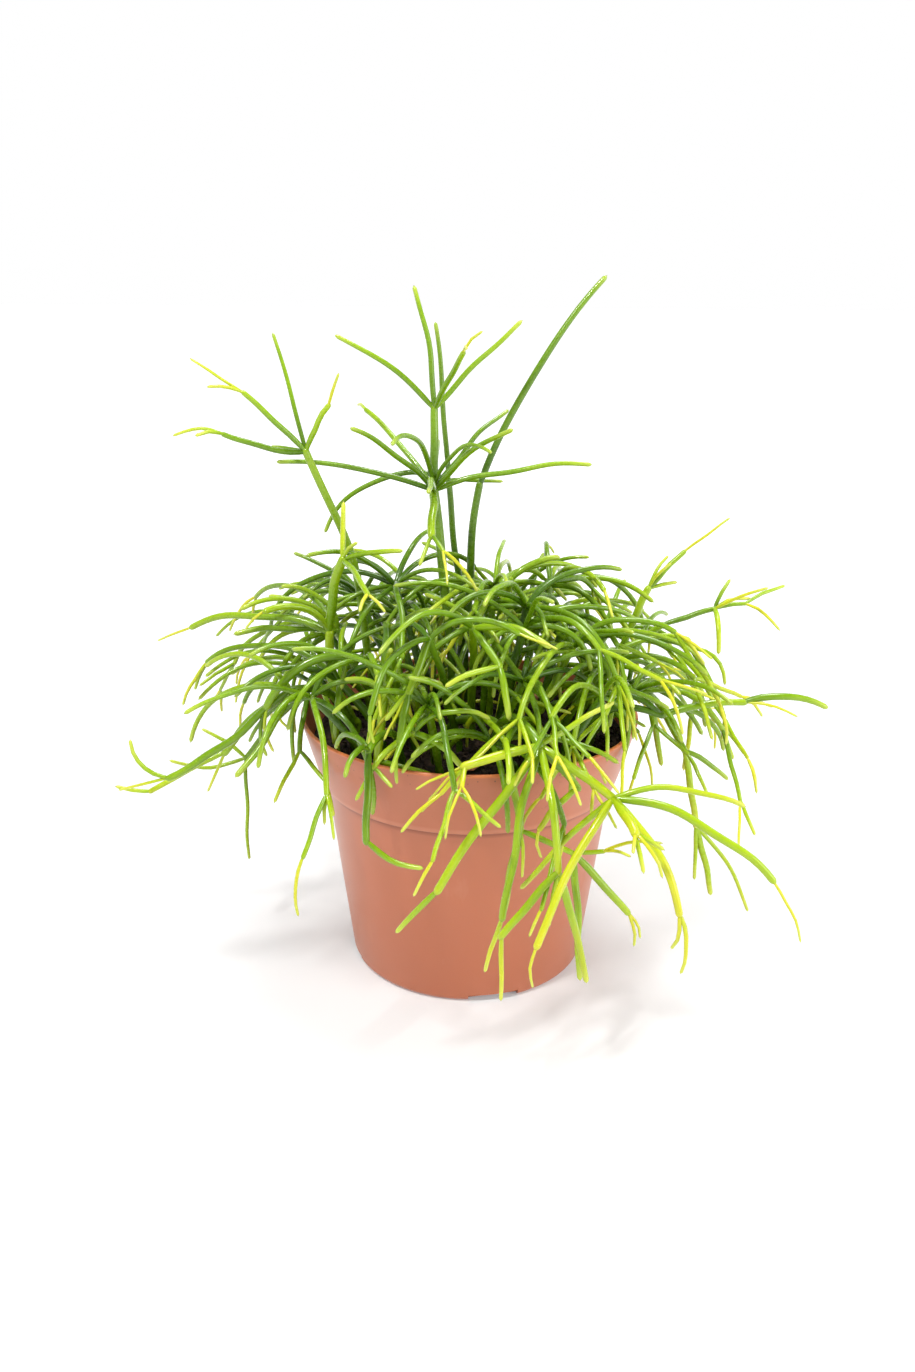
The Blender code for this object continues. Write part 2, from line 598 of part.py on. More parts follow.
def crown_shoot(place, chance):
    """A shoot of the dense crown: arms arch out from a short trunk, which leans more near the rim."""
    root = place_on_peat(place)
    share = root.length / (SOIL_RADIUS * CROWN_SHARE)
    outward = math.degrees(math.atan2(root.y, root.x))
    lean = UPRIGHT - EDGE_LEAN * share + chance.uniform(-LEAN_PLAY, LEAN_PLAY)
    fullness = MIDDLE_HEIGHT + (EDGE_HEIGHT - MIDDLE_HEIGHT) * share
    height = chance.uniform(SHORT, LONG) * fullness
    count = chance.choice((3, 4))
    arms = whorl(count, chance.uniform(0, 360), 360, LOW, chance.uniform(MEDIUM, LONG), BOWED, SLIM)
    for arm in arms[:3]:
        forks = chance.choice((1, 2))
        length = chance.uniform(STUB, SHORT)
        arm["then"] = whorl(forks, arm["heading"], FORK_SPREAD, FALLING, length, STRAIGHT, FINE)
    heading = outward + chance.uniform(-TURN_PLAY, TURN_PLAY)
    return stem(heading, lean, height, STRAIGHT, chance.choice((COMMON, THICK)), arms)


NAMED_SHOOTS = (
    (tall_wand, 6), (mast, 1), (slim_mast, 19), (candelabra, 30), (rosette, 7), (elbow, 12),
    (bow, 38), (long_arc, 20), (low_sweep, 46), (left_fan, 17), (trailing_left, 43),
    (right_hanger, 42), (horizon, 39), (flag, 29), (antler, 21), (cascade, 34), (perch, 3),
    (centre_piece, 2), (pale_fork, 15), (fork, 31), (wishbone, 28), (front_loop, 41), (crook, 33),
)
CHIP_PLACES = {"bark_chip_front": 36, "bark_chip_left": 25, "bark_chip_back": 37}


def list_shoots():
    """Name, place and planned first stem of every rooted shoot."""
    shoots = [(f"shoot_{make.__name__}", place, make()[0]) for make, place in NAMED_SHOOTS]
    taken = {place for _, place in NAMED_SHOOTS} | set(CHIP_PLACES.values())
    for place in sorted(set(range(PLACE_COUNT)) - taken):
        chance = random.Random(1000 + place)
        shoots.append((f"shoot_crown_{place:02d}", place, crown_shoot(place, chance)[0]))
    return shoots


# ---- stems as solids ----


def spans_of(line, length, bend):
    """How many straight runs stand for a stem: more where it is long or bends."""
    wanted = max(2, math.ceil(length / SPAN_LENGTH), math.ceil(abs(bend) / SPAN_BEND))
    return next((n for n in (2, 3, 4, 6) if n >= wanted), 6)


def rings_of(line, girth, tip):
    """Centres and radii for the tube along a line, from its pinched joint to its blunt tip."""
    length = float(np.linalg.norm(np.diff(line, axis=0), axis=1).sum())
    first = line[1] - line[0]
    last = line[-1] - line[-2]
    cosine = float(first @ last / (np.linalg.norm(first) * np.linalg.norm(last)))
    spans = spans_of(line, length, math.degrees(math.acos(max(-1.0, min(1.0, cosine)))))
    picked = line[:: ARC_STEPS // spans]
    radii = [girth] * len(picked)
    radii[0] = girth * JOINT_PINCH
    radii[-1] = girth * tip
    return [Vector(point) for point in picked], radii


def add_tube(bm, centers, radii):
    """A closed tube with a ring of corners round each centre and a point at its tip."""
    tangents = [(after - before).normalized() for before, after in zip(centers, centers[1:])]
    normal = tangents[0].orthogonal().normalized()
    rings = []
    for i, (center, radius) in enumerate(zip(centers, radii)):
        along = tangents[max(i - 1, 0)] + tangents[min(i, len(tangents) - 1)]
        along.normalize()
        normal = (normal - along * normal.dot(along)).normalized()
        other = along.cross(normal)
        turns = [math.tau * k / STEM_SIDES for k in range(STEM_SIDES)]
        spokes = [math.cos(a) * normal + math.sin(a) * other for a in turns]
        rings.append([bm.verts.new(center + radius * spoke) for spoke in spokes])
    start = [bm.verts.new(centers[0])]
    end = [bm.verts.new(centers[-1] + tangents[-1] * radii[-1] * 0.7)]
    for lower, upper in zip([start] + rings, rings + [end]):
        bridge(bm, lower, upper)


def build_shoot(name, place, lines, look, parent):
    """The rooted stem, standing in its socket, with its branches joined on."""
    root = place_on_peat(place)
    ground = soil_height(root.length)
    foot = Vector((root.x, root.y, ground - SOCKET_DEPTH + SOCKET_CLEARANCE))
    line, girth = lines[0]
    centers, radii = rings_of(line, girth, 0.85)
    radii[0] = girth
    bm = bmesh.new()
    add_tube(bm, [Vector()] + [center - foot for center in centers], [girth * 0.8] + radii)
    shoot = add_object(name, bm, look, parent, foot)
    helpers = []
    for number, (line, branch_girth) in enumerate(lines[1:]):
        centers, radii = rings_of(line, branch_girth, 0.8)
        bm = bmesh.new()
        add_tube(bm, [center - foot for center in centers], radii)
        helpers.append(add_object(f"{name}_branch_{number}", bm, parent=shoot))
        # many thin tubes meet at one joint, where EXACT can leave a hole
        combine(shoot, helpers[-1], "UNION", "MANIFOLD")
    settle(shoot, helpers)
    return girth


def build_chip(name, place, look, parent, seed):
    """A flake of bark: a flattened lump with uneven corners, just clear of the peat."""
    chance = random.Random(seed)
    root = place_on_peat(place)
    bm = bmesh.new()
    bmesh.ops.create_icosphere(bm, subdivisions=1, radius=1)
    for corner in bm.verts:
        corner.co *= chance.uniform(0.85, 1.1)
    half = (5.6 * MM, 3.4 * MM, 1.3 * MM)
    tilt = Matrix.Rotation(math.radians(chance.uniform(0, 180)), 4, "Z")
    bmesh.ops.transform(bm, matrix=tilt @ Matrix.Diagonal((*half, 1)), verts=bm.verts)
    lowest = min(corner.co.z for corner in bm.verts)
    lift = soil_height(max(root.length - half[0], 0)) + SOIL_CLEARANCE - lowest
    add_object(name, bm, look, parent, Vector((root.x, root.y, lift)))


def main():
    clear_scene()
    plant = bpy.data.objects.new("potted_plant", None)
    bpy.context.scene.collection.objects.link(plant)
    build_pot(plant)
    greens = [
        material("stem_dark_green", (0.045, 0.14, 0.022), 0.38),
        material("stem_mid_green", (0.11, 0.27, 0.03), 0.38),
        material("stem_bright_green", (0.25, 0.45, 0.045), 0.38),
    ]
    shoots = list_shoots()
    grown = grow_plant(shoots)
    roots = []
    for number, ((name, place, _), lines) in enumerate(zip(shoots, grown)):
        girth = build_shoot(name, place, lines, greens[number % 3], plant)
        roots.append((place_on_peat(place), girth))
    build_soil(plant, roots)
    bark = material("bark", (0.35, 0.14, 0.055), 0.85)
    for seed, (name, place) in enumerate(CHIP_PLACES.items()):
        build_chip(name, place, bark, plant, seed)


main()
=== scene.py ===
# Potted mistletoe cactus in a plastic nursery pot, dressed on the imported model.
import json
import math
import random

import bmesh
import bpy
import numpy as np
from mathutils import Matrix, Vector, noise


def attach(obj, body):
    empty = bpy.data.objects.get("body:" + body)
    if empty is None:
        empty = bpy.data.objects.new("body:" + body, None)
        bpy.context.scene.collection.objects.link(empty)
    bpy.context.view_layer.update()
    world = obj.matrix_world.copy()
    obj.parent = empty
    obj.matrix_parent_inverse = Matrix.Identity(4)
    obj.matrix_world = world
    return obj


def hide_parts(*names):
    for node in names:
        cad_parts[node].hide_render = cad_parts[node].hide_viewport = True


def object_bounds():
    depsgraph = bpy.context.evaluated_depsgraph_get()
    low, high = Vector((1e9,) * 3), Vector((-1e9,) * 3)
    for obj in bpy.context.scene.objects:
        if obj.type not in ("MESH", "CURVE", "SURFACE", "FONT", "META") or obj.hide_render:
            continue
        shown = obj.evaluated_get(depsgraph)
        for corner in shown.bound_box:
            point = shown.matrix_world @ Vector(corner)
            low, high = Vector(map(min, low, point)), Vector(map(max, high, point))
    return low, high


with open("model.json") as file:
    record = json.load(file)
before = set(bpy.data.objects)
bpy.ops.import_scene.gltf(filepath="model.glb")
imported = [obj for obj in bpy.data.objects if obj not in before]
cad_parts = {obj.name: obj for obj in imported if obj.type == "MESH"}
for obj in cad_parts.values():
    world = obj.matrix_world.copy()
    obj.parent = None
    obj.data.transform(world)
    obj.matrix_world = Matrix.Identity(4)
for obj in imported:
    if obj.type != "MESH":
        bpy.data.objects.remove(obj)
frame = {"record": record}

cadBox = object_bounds()
mm = 0.001

pot = {
    "height": 94 * mm, "rimRadius": 60 * mm, "collarHeight": 24 * mm, "collarFlare": 6.8 * mm,
    "collarStep": 1.5 * mm, "baseRadius": 43 * mm, "baseCorner": 2.5 * mm, "wall": 1.4 * mm,
    "lipRound": 0.6 * mm, "footWidth": 5 * mm, "floorLift": 3 * mm, "padRadius": 12 * mm,
    "notchCount": 4, "notchWidth": 18 * mm, "notchHeight": 2.6 * mm, "notchBearing": 283,
    "holeCount": 6, "holeRadius": 4 * mm, "sides": 144, "edgeRound": 0.7 * mm,
}
peat = {
    "drop": 9 * mm, "dome": 2.5 * mm, "clearance": 0.4 * mm, "socketDepth": 7 * mm,
    "socketClearance": 0.35 * mm, "rings": 44, "sides": 120, "roughness": 1.5 * mm, "lumpScale": 160,
    "grainScale": 900, "crumbSize": 1.5 * mm, "crumbsPerArea": 190000, "crumbRoughness": 1.6 * mm,
    "dark": (0.012, 0.008, 0.006), "light": (0.075, 0.042, 0.024),
}
plant = {
    "placeCount": 57, "crownShare": 0.88, "floorGap": 5 * mm, "rootRise": 3 * mm, "jointReach": 7 * mm,
    "jointSink": 0.6, "stubLength": 4, "arcSteps": 12, "fanLift": 24, "fanStep": 0.2, "goldenAngle": 137.508,
    "edgeLean": 30, "leanPlay": 6, "turnPlay": 50, "middleHeight": 1.1, "edgeHeight": 0.6, "forkSpread": 80,
}
firstGrowth = {"gap": 0.9 * mm, "tries": 46, "nudge": 4.5, "turnNudge": 1.5, "dropNudge": 0.7, "shrink": 0.01}
youngGrowth = {"gap": 0.3 * mm, "tries": 16, "nudge": 7, "turnNudge": 1, "dropNudge": 1, "shrink": 0}
seeds = {"crown": 1000, "young": 5000, "shape": 9000}

# bearings, slopes and bends in degrees, lengths and half widths in mm
toRight, toBack, toLeft, toFront = 0, 90, 180, 270
upright, steep, slanted, lowRise, level, dipping, falling, hanging = 88, 70, 48, 22, 2, -22, -46, -72
straight, sprung, arched, bowed = 6, 24, 50, 90
cane, tall, long, medium, short, stub, bud = 100, 82, 54, 40, 28, 19, 11
stout, thick, common, slim, fine = 1.65, 1.4, 1.2, 0.95, 0.75

collarFoot = pot["height"] - pot["collarHeight"]
collarRadius = pot["rimRadius"] - pot["collarFlare"]
bodyRadius = collarRadius - pot["collarStep"]
footInner = pot["baseRadius"] - pot["footWidth"]
peatEdge = pot["height"] - peat["drop"]
outerHeights = (pot["baseCorner"], collarFoot, collarFoot, pot["height"])
outerRadii = (pot["baseRadius"], bodyRadius, collarRadius, pot["rimRadius"])
ledgeLow = collarFoot + 0.6 * pot["wall"]
ledgeHigh = collarFoot + 1.4 * pot["wall"]
innerHeights = (pot["baseCorner"], ledgeLow, ledgeHigh, pot["height"])
innerRadii = tuple(radius - pot["wall"] for radius in outerRadii)


def innerRadius(z):
    return float(np.interp(z, innerHeights, innerRadii))


peatRadius = innerRadius(peatEdge) - peat["clearance"]


def soilHeight(radius):
    return peatEdge + peat["dome"] * (1 - (radius / peatRadius) ** 2)


def polar(radius, bearing, z=0.0):
    a = math.radians(bearing)
    return Vector((radius * math.cos(a), radius * math.sin(a), z))


def placeOnPeat(number):  # as seeds fill a sunflower, from the middle outwards
    share = math.sqrt((number + 0.5) / plant["placeCount"])
    return polar(peatRadius * plant["crownShare"] * share, plant["goldenAngle"] * number)


def smooth(share):
    share = np.clip(share, 0, 1)
    return share * share * (3 - 2 * share)


# materials: maths on a wire adds Math nodes


class Wire:
    def __init__(self, tree, socket):
        self.tree = tree
        self.socket = socket

    def maths(self, operation, *values):
        made = self.tree.nodes.new("ShaderNodeMath")
        made.operation = operation
        for socket, value in zip(made.inputs, values):
            plug(self.tree, socket, value)
        return Wire(self.tree, made.outputs[0])

    def __add__(self, other):
        return self.maths("ADD", self, other)

    def __radd__(self, other):
        return self.maths("ADD", other, self)

    def __sub__(self, other):
        return self.maths("SUBTRACT", self, other)

    def __rsub__(self, other):
        return self.maths("SUBTRACT", other, self)

    def __mul__(self, other):
        return self.maths("MULTIPLY", self, other)

    def __rmul__(self, other):
        return self.maths("MULTIPLY", other, self)

    def __truediv__(self, other):
        return self.maths("DIVIDE", self, other)

    def above(self, edge, width):  # 0 below the edge, 1 above it, soft over the width
        share = (self - edge) / width
        share.socket.node.use_clamp = True
        return share


def plug(tree, socket, value):
    if isinstance(value, Wire):
        tree.links.new(value.socket, socket)
    else:
        socket.default_value = value


def setStops(ramp, stops):
    while len(ramp.elements) < len(stops):
        ramp.elements.new(0.5)
    for element, (position, colour) in zip(ramp.elements, stops):
        element.position = position
        element.color = (*colour, 1)


class Nodes:  # a node tree that makes its nodes through one method, most of them of one family
    def __init__(self, tree, family):
        self.tree = tree
        self.family = family

    def node(self, kind, settings=None, inputs=None, out=0):
        made = self.tree.nodes.new(kind if "Node" in kind else self.family + kind)
        for label, value in (settings or {}).items():
            if label == "stops":
                setStops(made.color_ramp, value)
            else:
                setattr(made, label, value)
        for label, value in (inputs or {}).items():
            plug(self.tree, made.inputs[label], value)
        return Wire(self.tree, made.outputs[out])


def tint(colour):
    return colour if isinstance(colour, Wire) else (*colour, 1)


class Finish(Nodes):
    def __init__(self, name, colour, **constants):
        self.made = bpy.data.materials.new(name)
        self.made.use_nodes = True
        self.made.diffuse_color = (*colour, 1)
        super().__init__(self.made.node_tree, "ShaderNode")
        self.shader = self.tree.nodes["Principled BSDF"]
        self.feed("Base Color", (*colour, 1))
        for label, value in constants.items():
            self.feed(label.replace("_", " "), value)

    def feed(self, label, value):
        plug(self.tree, self.shader.inputs[label], value)

    def place(self):
        return self.node("TexCoord", out="Object")

    def grain(self, size, detail=4, stretch=(1, 1, 1), seed=0.0):
        where = self.node("Mapping", inputs={"Vector": self.place(), "Scale": stretch})
        inputs = {"Vector": where, "W": seed, "Scale": 1 / size, "Detail": detail}
        return self.node("TexNoise", {"noise_dimensions": "4D"}, inputs)

    def mix(self, share, first, second):
        tints = {6: tint(first), 7: tint(second)}
        return self.node("Mix", {"data_type": "RGBA"}, {0: share, **tints}, out=2)

    def read(self, name):
        return self.node("Attribute", {"attribute_type": "GEOMETRY", "attribute_name": name}, out="Fac")

    def bump(self, height, strength, distance):
        inputs = {"Height": height, "Strength": strength, "Distance": distance}
        self.feed("Normal", self.node("Bump", inputs=inputs))


# meshes and Geometry Nodes


def addObject(name, data):
    made = bpy.data.objects.new(name, data)
    bpy.context.scene.collection.objects.link(made)
    return made


def smoothMesh(mesh, sharpOver):
    mesh.shade_smooth()
    mesh.set_sharp_from_angle(angle=math.radians(sharpOver))


def meshOf(name, bm, sharpOver=40):
    bmesh.ops.recalc_face_normals(bm, faces=bm.faces)
    mesh = bpy.data.meshes.new(name)
    bm.to_mesh(mesh)
    bm.free()
    smoothMesh(mesh, sharpOver)
    return mesh


class Graph(Nodes):  # a Geometry Nodes tree with named inputs
    def __init__(self, name, sizes):
        super().__init__(bpy.data.node_groups.new(name, "GeometryNodeTree"), "GeometryNode")
        face = self.tree.interface
        face.new_socket("Geometry", in_out="INPUT", socket_type="NodeSocketGeometry")
        for label, kind in sizes.items():
            face.new_socket(label, in_out="INPUT", socket_type="NodeSocket" + kind)
        face.new_socket("Geometry", in_out="OUTPUT", socket_type="NodeSocketGeometry")
        self.start = self.tree.nodes.new("NodeGroupInput")
        self.end = self.tree.nodes.new("NodeGroupOutput")

    def given(self, label):
        return Wire(self.tree, self.start.outputs[label])

    def read(self, name):
        return self.node("InputNamedAttribute", {"data_type": "FLOAT"}, {"Name": name})

    def join(self, *shapes):
        made = self.tree.nodes.new("GeometryNodeJoinGeometry")
        for shape in shapes:
            self.tree.links.new(shape.socket, made.inputs[0])
        return Wire(self.tree, made.outputs[0])

    def finish(self, shape, look):
        real = self.node("RealizeInstances", inputs={"Geometry": shape})
        done = self.node("SetMaterial", inputs={"Geometry": real, "Material": look})
        plug(self.tree, self.end.inputs["Geometry"], done)


def makePlain(obj, modifier):  # keeps what the modifier makes as a plain mesh, and removes it
    depsgraph = bpy.context.evaluated_depsgraph_get()
    made = bpy.data.meshes.new_from_object(
        obj.evaluated_get(depsgraph), preserve_all_data_layers=True, depsgraph=depsgraph
    )
    obj.modifiers.remove(modifier)
    obj.data = made


def grow(obj, graph, values):
    modifier = obj.modifiers.new("grow", "NODES")
    modifier.node_group = graph.tree
    for item in graph.tree.interface.items_tree:
        if item.in_out == "INPUT" and item.name in values:
            modifier[item.identifier] = values[item.name]
    makePlain(obj, modifier)


def finishPiece(obj, node):
    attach(obj, "root")
    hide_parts(node)


# growth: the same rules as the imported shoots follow


def stem(heading, rise, length, sag, girth, then=()):
    return [dict(heading=heading, rise=rise, length=length, sag=sag, girth=girth, then=list(then))]


def whorl(count, heading, spread, rise, length, sag, girth, then=()):
    stems = []
    for i in range(count):
        share = i / count if spread == 360 else i / max(count - 1, 1) - 0.5
        raised = i % 2
        size = length * (1 - plant["fanStep"] * raised)
        stems += stem(heading + spread * share, rise + plant["fanLift"] * raised, size, sag, girth, then)
    return stems


def arcLine(start, heading, rise, length, sag):
    share = (np.arange(plant["arcSteps"]) + 0.5) / plant["arcSteps"]
    slope = np.radians(rise - sag * share)
    turn = math.radians(heading)
    step = np.stack([np.cos(slope) * math.cos(turn), np.cos(slope) * math.sin(turn), np.sin(slope)], axis=1)
    return np.vstack([start, start + np.cumsum(step * length / plant["arcSteps"], axis=0)])


def clearOfPot(line, girth, gap):
    wanted = girth + gap
    radius = np.hypot(line[:, 0], line[:, 1])
    z = line[:, 2]
    above = z > pot["height"] + wanted
    outside = radius > np.interp(z, outerHeights, outerRadii) + wanted
    inside = (radius < np.interp(z, innerHeights, innerRadii) - wanted) & (z > soilHeight(radius) + wanted)
    return bool((above | outside | inside).all() and z.min() > girth + plant["floorGap"])


class Thicket:  # points along every stem so far, for the next to keep clear of
    def __init__(self):
        self.points = np.empty((0, 3))
        self.girths = np.empty(0)
        self.owners = np.empty(0, int)

    def add(self, line, girth, owner):
        self.points = np.vstack([self.points, line])
        self.girths = np.append(self.girths, np.full(len(line), girth))
        self.owners = np.append(self.owners, np.full(len(line), owner))

    def clear(self, line, girth, owner, gap):
        reach = girth + gap + stout * mm
        over = self.points > line.min(axis=0) - reach
        under = self.points < line.max(axis=0) + reach
        near = (over & under).all(axis=1)
        points = self.points[near]
        wanted = self.girths[near] + girth + gap
        family = self.owners[near] == owner
        gaps = np.linalg.norm(points[:, None] - line[None], axis=2)
        joint = line[0]
        around = np.linalg.norm(points - joint, axis=1) < plant["jointReach"]
        leaving = np.linalg.norm(line - joint, axis=1) < plant["jointReach"]
        allowed = (family & around)[:, None] & leaving[None]
        return bool(((gaps > wanted[:, None]) | allowed).all())


def dense(line):
    between = (line[:-1] + line[1:]) / 2
    mixed = np.empty((len(line) + len(between), 3))
    mixed[0::2] = line
    mixed[1::2] = between
    return mixed


def insideBox(line):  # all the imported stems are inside, and young growth is kept inside too
    low = np.array(cadBox[0]) - filling["roomBeyond"]
    high = np.array(cadBox[1]) + filling["roomBeyond"]
    return bool((line > low).all() and (line < high).all())


def addStem(thicket, line, girth, owner, order):
    thicket.add(dense(line), girth, owner)
    return {"line": line, "girth": girth, "order": order, "ends": True}


def growStem(thicket, start, plan, owner, order, chance, manner):
    girth = plan["girth"] * mm
    for attempt in range(manner["tries"]):
        reach = manner["nudge"] * math.sqrt(attempt)
        heading = plan["heading"] + chance.uniform(-1, 1) * reach * manner["turnNudge"]
        rise = plan["rise"] + chance.uniform(-manner["dropNudge"], 1) * reach
        length = plan["length"] * (1 - manner["shrink"] * attempt) * mm
        line = arcLine(start, heading, rise, length, plan["sag"])
        if not (clearOfPot(line, girth, manner["gap"]) and insideBox(line)):
            continue
        if thicket.clear(dense(line), girth, owner, manner["gap"]):
            return addStem(thicket, line, girth, owner, order)
    return None


def rootStem(thicket, place, plan, owner, chance):
    root = placeOnPeat(place)
    start = np.array([root.x, root.y, soilHeight(root.length) + plant["rootRise"]])
    made = growStem(thicket, start, plan, owner, 0, chance, firstGrowth)
    if made:
        return made
    girth = plan["girth"] * mm
    return addStem(thicket, arcLine(start, 0, 90, plant["stubLength"] * girth, 0), girth, owner, 0)


def jointOf(parent):
    line = parent["line"]
    back = (line[-1] - line[-2]) / np.linalg.norm(line[-1] - line[-2])
    return line[-1] - back * parent["girth"] * plant["jointSink"]


def addBranch(thicket, parts, parent, plan, owner, chance, manner):
    made = growStem(thicket, jointOf(parent), plan, owner, parent["order"] + 1, chance, manner)
    if made:
        parent["ends"] = False
        parts.append(made)
    return made


def growPlant(shoots, thicket):  # all rooted stems, then all first branches, and so on
    chances = [random.Random(number) for number in range(len(shoots))]
    grown = []
    for owner, (_, place, plan) in enumerate(shoots):
        grown.append([rootStem(thicket, place, plan, owner, chances[owner])])
    tips = [(owner, grown[owner][0], plan) for owner, (_, _, plan) in enumerate(shoots)]
    while tips:
        fresh = []
        for owner, parent, plan in tips:
            for branch in plan["then"]:
                made = addBranch(thicket, grown[owner], parent, branch, owner, chances[owner], firstGrowth)
                if made:
                    fresh.append((owner, made, branch))
        tips = fresh
    return grown


# the shoots, each from its rooted stem outwards


def tallWand():
    return stem(toRight, upright, tall, straight, thick, stem(toRight + 15, steep, tall, sprung, common))


def mast():
    crown = stem(toLeft, slanted, medium, sprung, slim) + stem(toLeft - 45, upright, medium, sprung, slim)
    crown += stem(toFront + 30, slanted, short, straight, slim)
    crown += stem(toRight, slanted, medium, straight, slim)
    leader = stem(toBack, upright, short, straight, thick, crown)
    ring = whorl(8, toRight, 360, lowRise, long, sprung, slim)
    drooping = stem(toLeft + 60, steep, long, bowed, slim) + stem(toRight - 60, steep, medium, bowed, fine)
    droop = stem(toFront, level, short, arched, thick, whorl(2, toFront, 60, falling, bud, straight, fine))
    return stem(toLeft, upright, tall, straight, stout, leader + ring + drooping + droop)


def slimMast():
    leader = stem(toLeft, upright, long, straight, slim)
    sides = stem(toLeft, lowRise, long, bowed, slim) + stem(toRight, level, stub, straight, fine)
    return stem(toLeft, upright, tall, straight, common, leader + sides)


def candelabra():
    arms = stem(toLeft + 15, level, short, -sprung, slim) + stem(toLeft + 15, slanted, short, straight, slim)
    arms += stem(toLeft - 45, steep, medium, straight, fine) + stem(toRight - 30, steep, stub, sprung, slim)
    arms += stem(toLeft - 45, level, stub, straight, fine)
    return stem(toLeft + 30, upright, cane, sprung, thick, arms)


def bow():
    tops = stem(toBack, steep, stub, straight, slim) + whorl(2, toRight - 45, 45, level, short, sprung, slim)
    upper = stem(toRight - 30, upright, short, sprung, stout, tops)
    upper += stem(toLeft + 30, steep, short, bowed, common) + stem(toLeft - 15, lowRise, long, arched, common)
    return stem(toLeft + 45, slanted, medium, -arched, stout, upper)


def elbow():
    feet = stem(toLeft, dipping, medium, straight, slim) + stem(toLeft + 30, dipping, short, sprung, common)
    feet += stem(toRight - 30, dipping, short, straight, common)
    knee = stem(toFront - 30, hanging, short, straight, thick, feet)
    knee += stem(toRight - 45, upright, short, arched, slim)
    knee += stem(toLeft + 60, lowRise, stub, bowed, slim) + stem(toRight - 15, lowRise, stub, arched, common)
    outer = stem(toFront, hanging, stub, straight, thick, knee)
    return stem(toFront - 15, slanted, long, -sprung, thick, outer)


def wishbone():
    left = stem(toLeft + 45, level, stub, arched, slim, whorl(2, toFront, 90, falling, bud, straight, fine))
    right = stem(toRight - 30, level, stub, arched, common)
    right += whorl(2, toBack, 120, slanted, medium, bowed, slim)
    return stem(toFront - 15, slanted, short, sprung, common, left + right)


def rosette():
    young = whorl(2, toFront - 45, 60, falling, bud, straight, fine)
    knot = stem(toLeft, falling, short, straight, common, stem(toFront, hanging, stub, straight, fine))
    knot += stem(toLeft + 30, hanging, stub, straight, fine)
    knot += stem(toRight + 15, hanging, medium, straight, common)
    left = stem(toLeft + 15, level, short, straight, thick, young)
    left += stem(toLeft + 30, falling, long, straight, thick, stem(toLeft, falling, stub, straight, slim))
    left += stem(toLeft + 60, falling, long, sprung, common, stem(toLeft, hanging, stub, straight, fine))
    left += stem(toFront - 15, falling, long, arched, common, knot)
    spray = stem(toRight, lowRise, medium, arched, slim) + stem(toRight - 15, level, long, arched, common)
    spray += stem(toRight - 45, dipping, medium, arched, common)
    buds = whorl(2, toFront + 45, 60, falling, bud, straight, fine)
    spray += stem(toFront + 15, level, stub, sprung, thick, buds)
    spray += stem(toFront - 60, falling, long, sprung, common) + stem(toLeft, falling, medium, straight, slim)
    right = stem(toRight - 30, dipping, short, straight, thick, spray)
    right += stem(toRight, falling, stub, straight, common, stem(toLeft, falling, stub, sprung, slim))
    right += stem(toRight + 30, lowRise, short, straight, slim)
    outer = stem(toFront + 30, slanted, short, bowed, stout, left + right)
    return stem(toFront + 30, slanted, medium, arched, stout, outer)


def fork():
    tips = stem(toFront + 15, hanging, medium, straight, common)
    tips += stem(toRight, falling, short, straight, common) + stem(toRight - 30, lowRise, bud, straight, fine)
    lower = stem(toFront - 45, hanging, short, straight, common)
    lower += stem(toRight, dipping, stub, straight, slim, tips)
    outer = stem(toFront + 45, hanging, short, straight, common, lower)
    outer += whorl(2, toLeft, 180, lowRise, medium, bowed, slim)
    return stem(toFront - 15, steep, medium, bowed, common, outer)


def frontLoop():
    lower = stem(toRight - 15, falling, stub, -arched, slim)
    outer = stem(toFront, falling, short, sprung, common, lower)
    outer += whorl(2, toLeft, 150, lowRise, short, bowed, slim)
    return stem(toFront - 15, steep, medium, bowed, common, outer)


def trailingLeft():
    ends = stem(toFront, hanging, medium, sprung, fine) + stem(toLeft + 15, dipping, short, -arched, fine)
    ends += stem(toLeft, slanted, stub, sprung, fine)
    arms = stem(toLeft, falling, medium, straight, slim, ends)
    arms += stem(toLeft - 30, lowRise, medium, bowed, slim)
    return stem(toLeft + 30, steep, short, bowed, common, arms)


def longArc():
    middle = stem(toLeft + 15, falling, medium, -sprung, common, stem(toLeft, level, stub, -bowed, fine))
    upper = stem(toLeft + 15, lowRise, medium, bowed, thick, middle)
    upper += whorl(2, toFront, 120, lowRise, medium, bowed, slim)
    return stem(toFront - 45, steep, medium, straight, thick, upper)


def lowSweep():
    end = stem(toLeft + 15, dipping, short, straight, slim, stem(toLeft + 15, level, bud, -sprung, fine))
    low = stem(toLeft + 15, dipping, medium, sprung, thick, end)
    low += stem(toLeft + 30, falling, medium, -sprung, common) + stem(toLeft, lowRise, long, bowed, slim)
    low += stem(toLeft - 30, slanted, medium, bowed, slim)
    return stem(toLeft + 45, upright, medium, bowed, thick, low)


def leftFan():
    arms = stem(toLeft + 15, upright, short, bowed, slim) + stem(toLeft + 15, lowRise, medium, sprung, common)
    arms += stem(toLeft + 30, lowRise, medium, bowed, slim) + stem(toLeft + 60, level, medium, arched, slim)
    arms += stem(toLeft - 15, slanted, short, arched, slim)
    arms += whorl(2, toLeft - 15, 60, slanted, long, bowed, slim)
    return stem(toLeft + 15, slanted, medium, -sprung, thick, arms)


def crook():
    end = stem(toRight - 15, falling, short, -arched, common)
    arms = stem(toFront - 15, falling, short, arched, common, end)
    arms += whorl(3, toBack, 240, slanted, medium, bowed, slim)
    arms += whorl(2, toLeft + 15, 60, slanted, long, bowed, slim)
    return stem(toLeft + 15, steep, short, sprung, thick, arms)


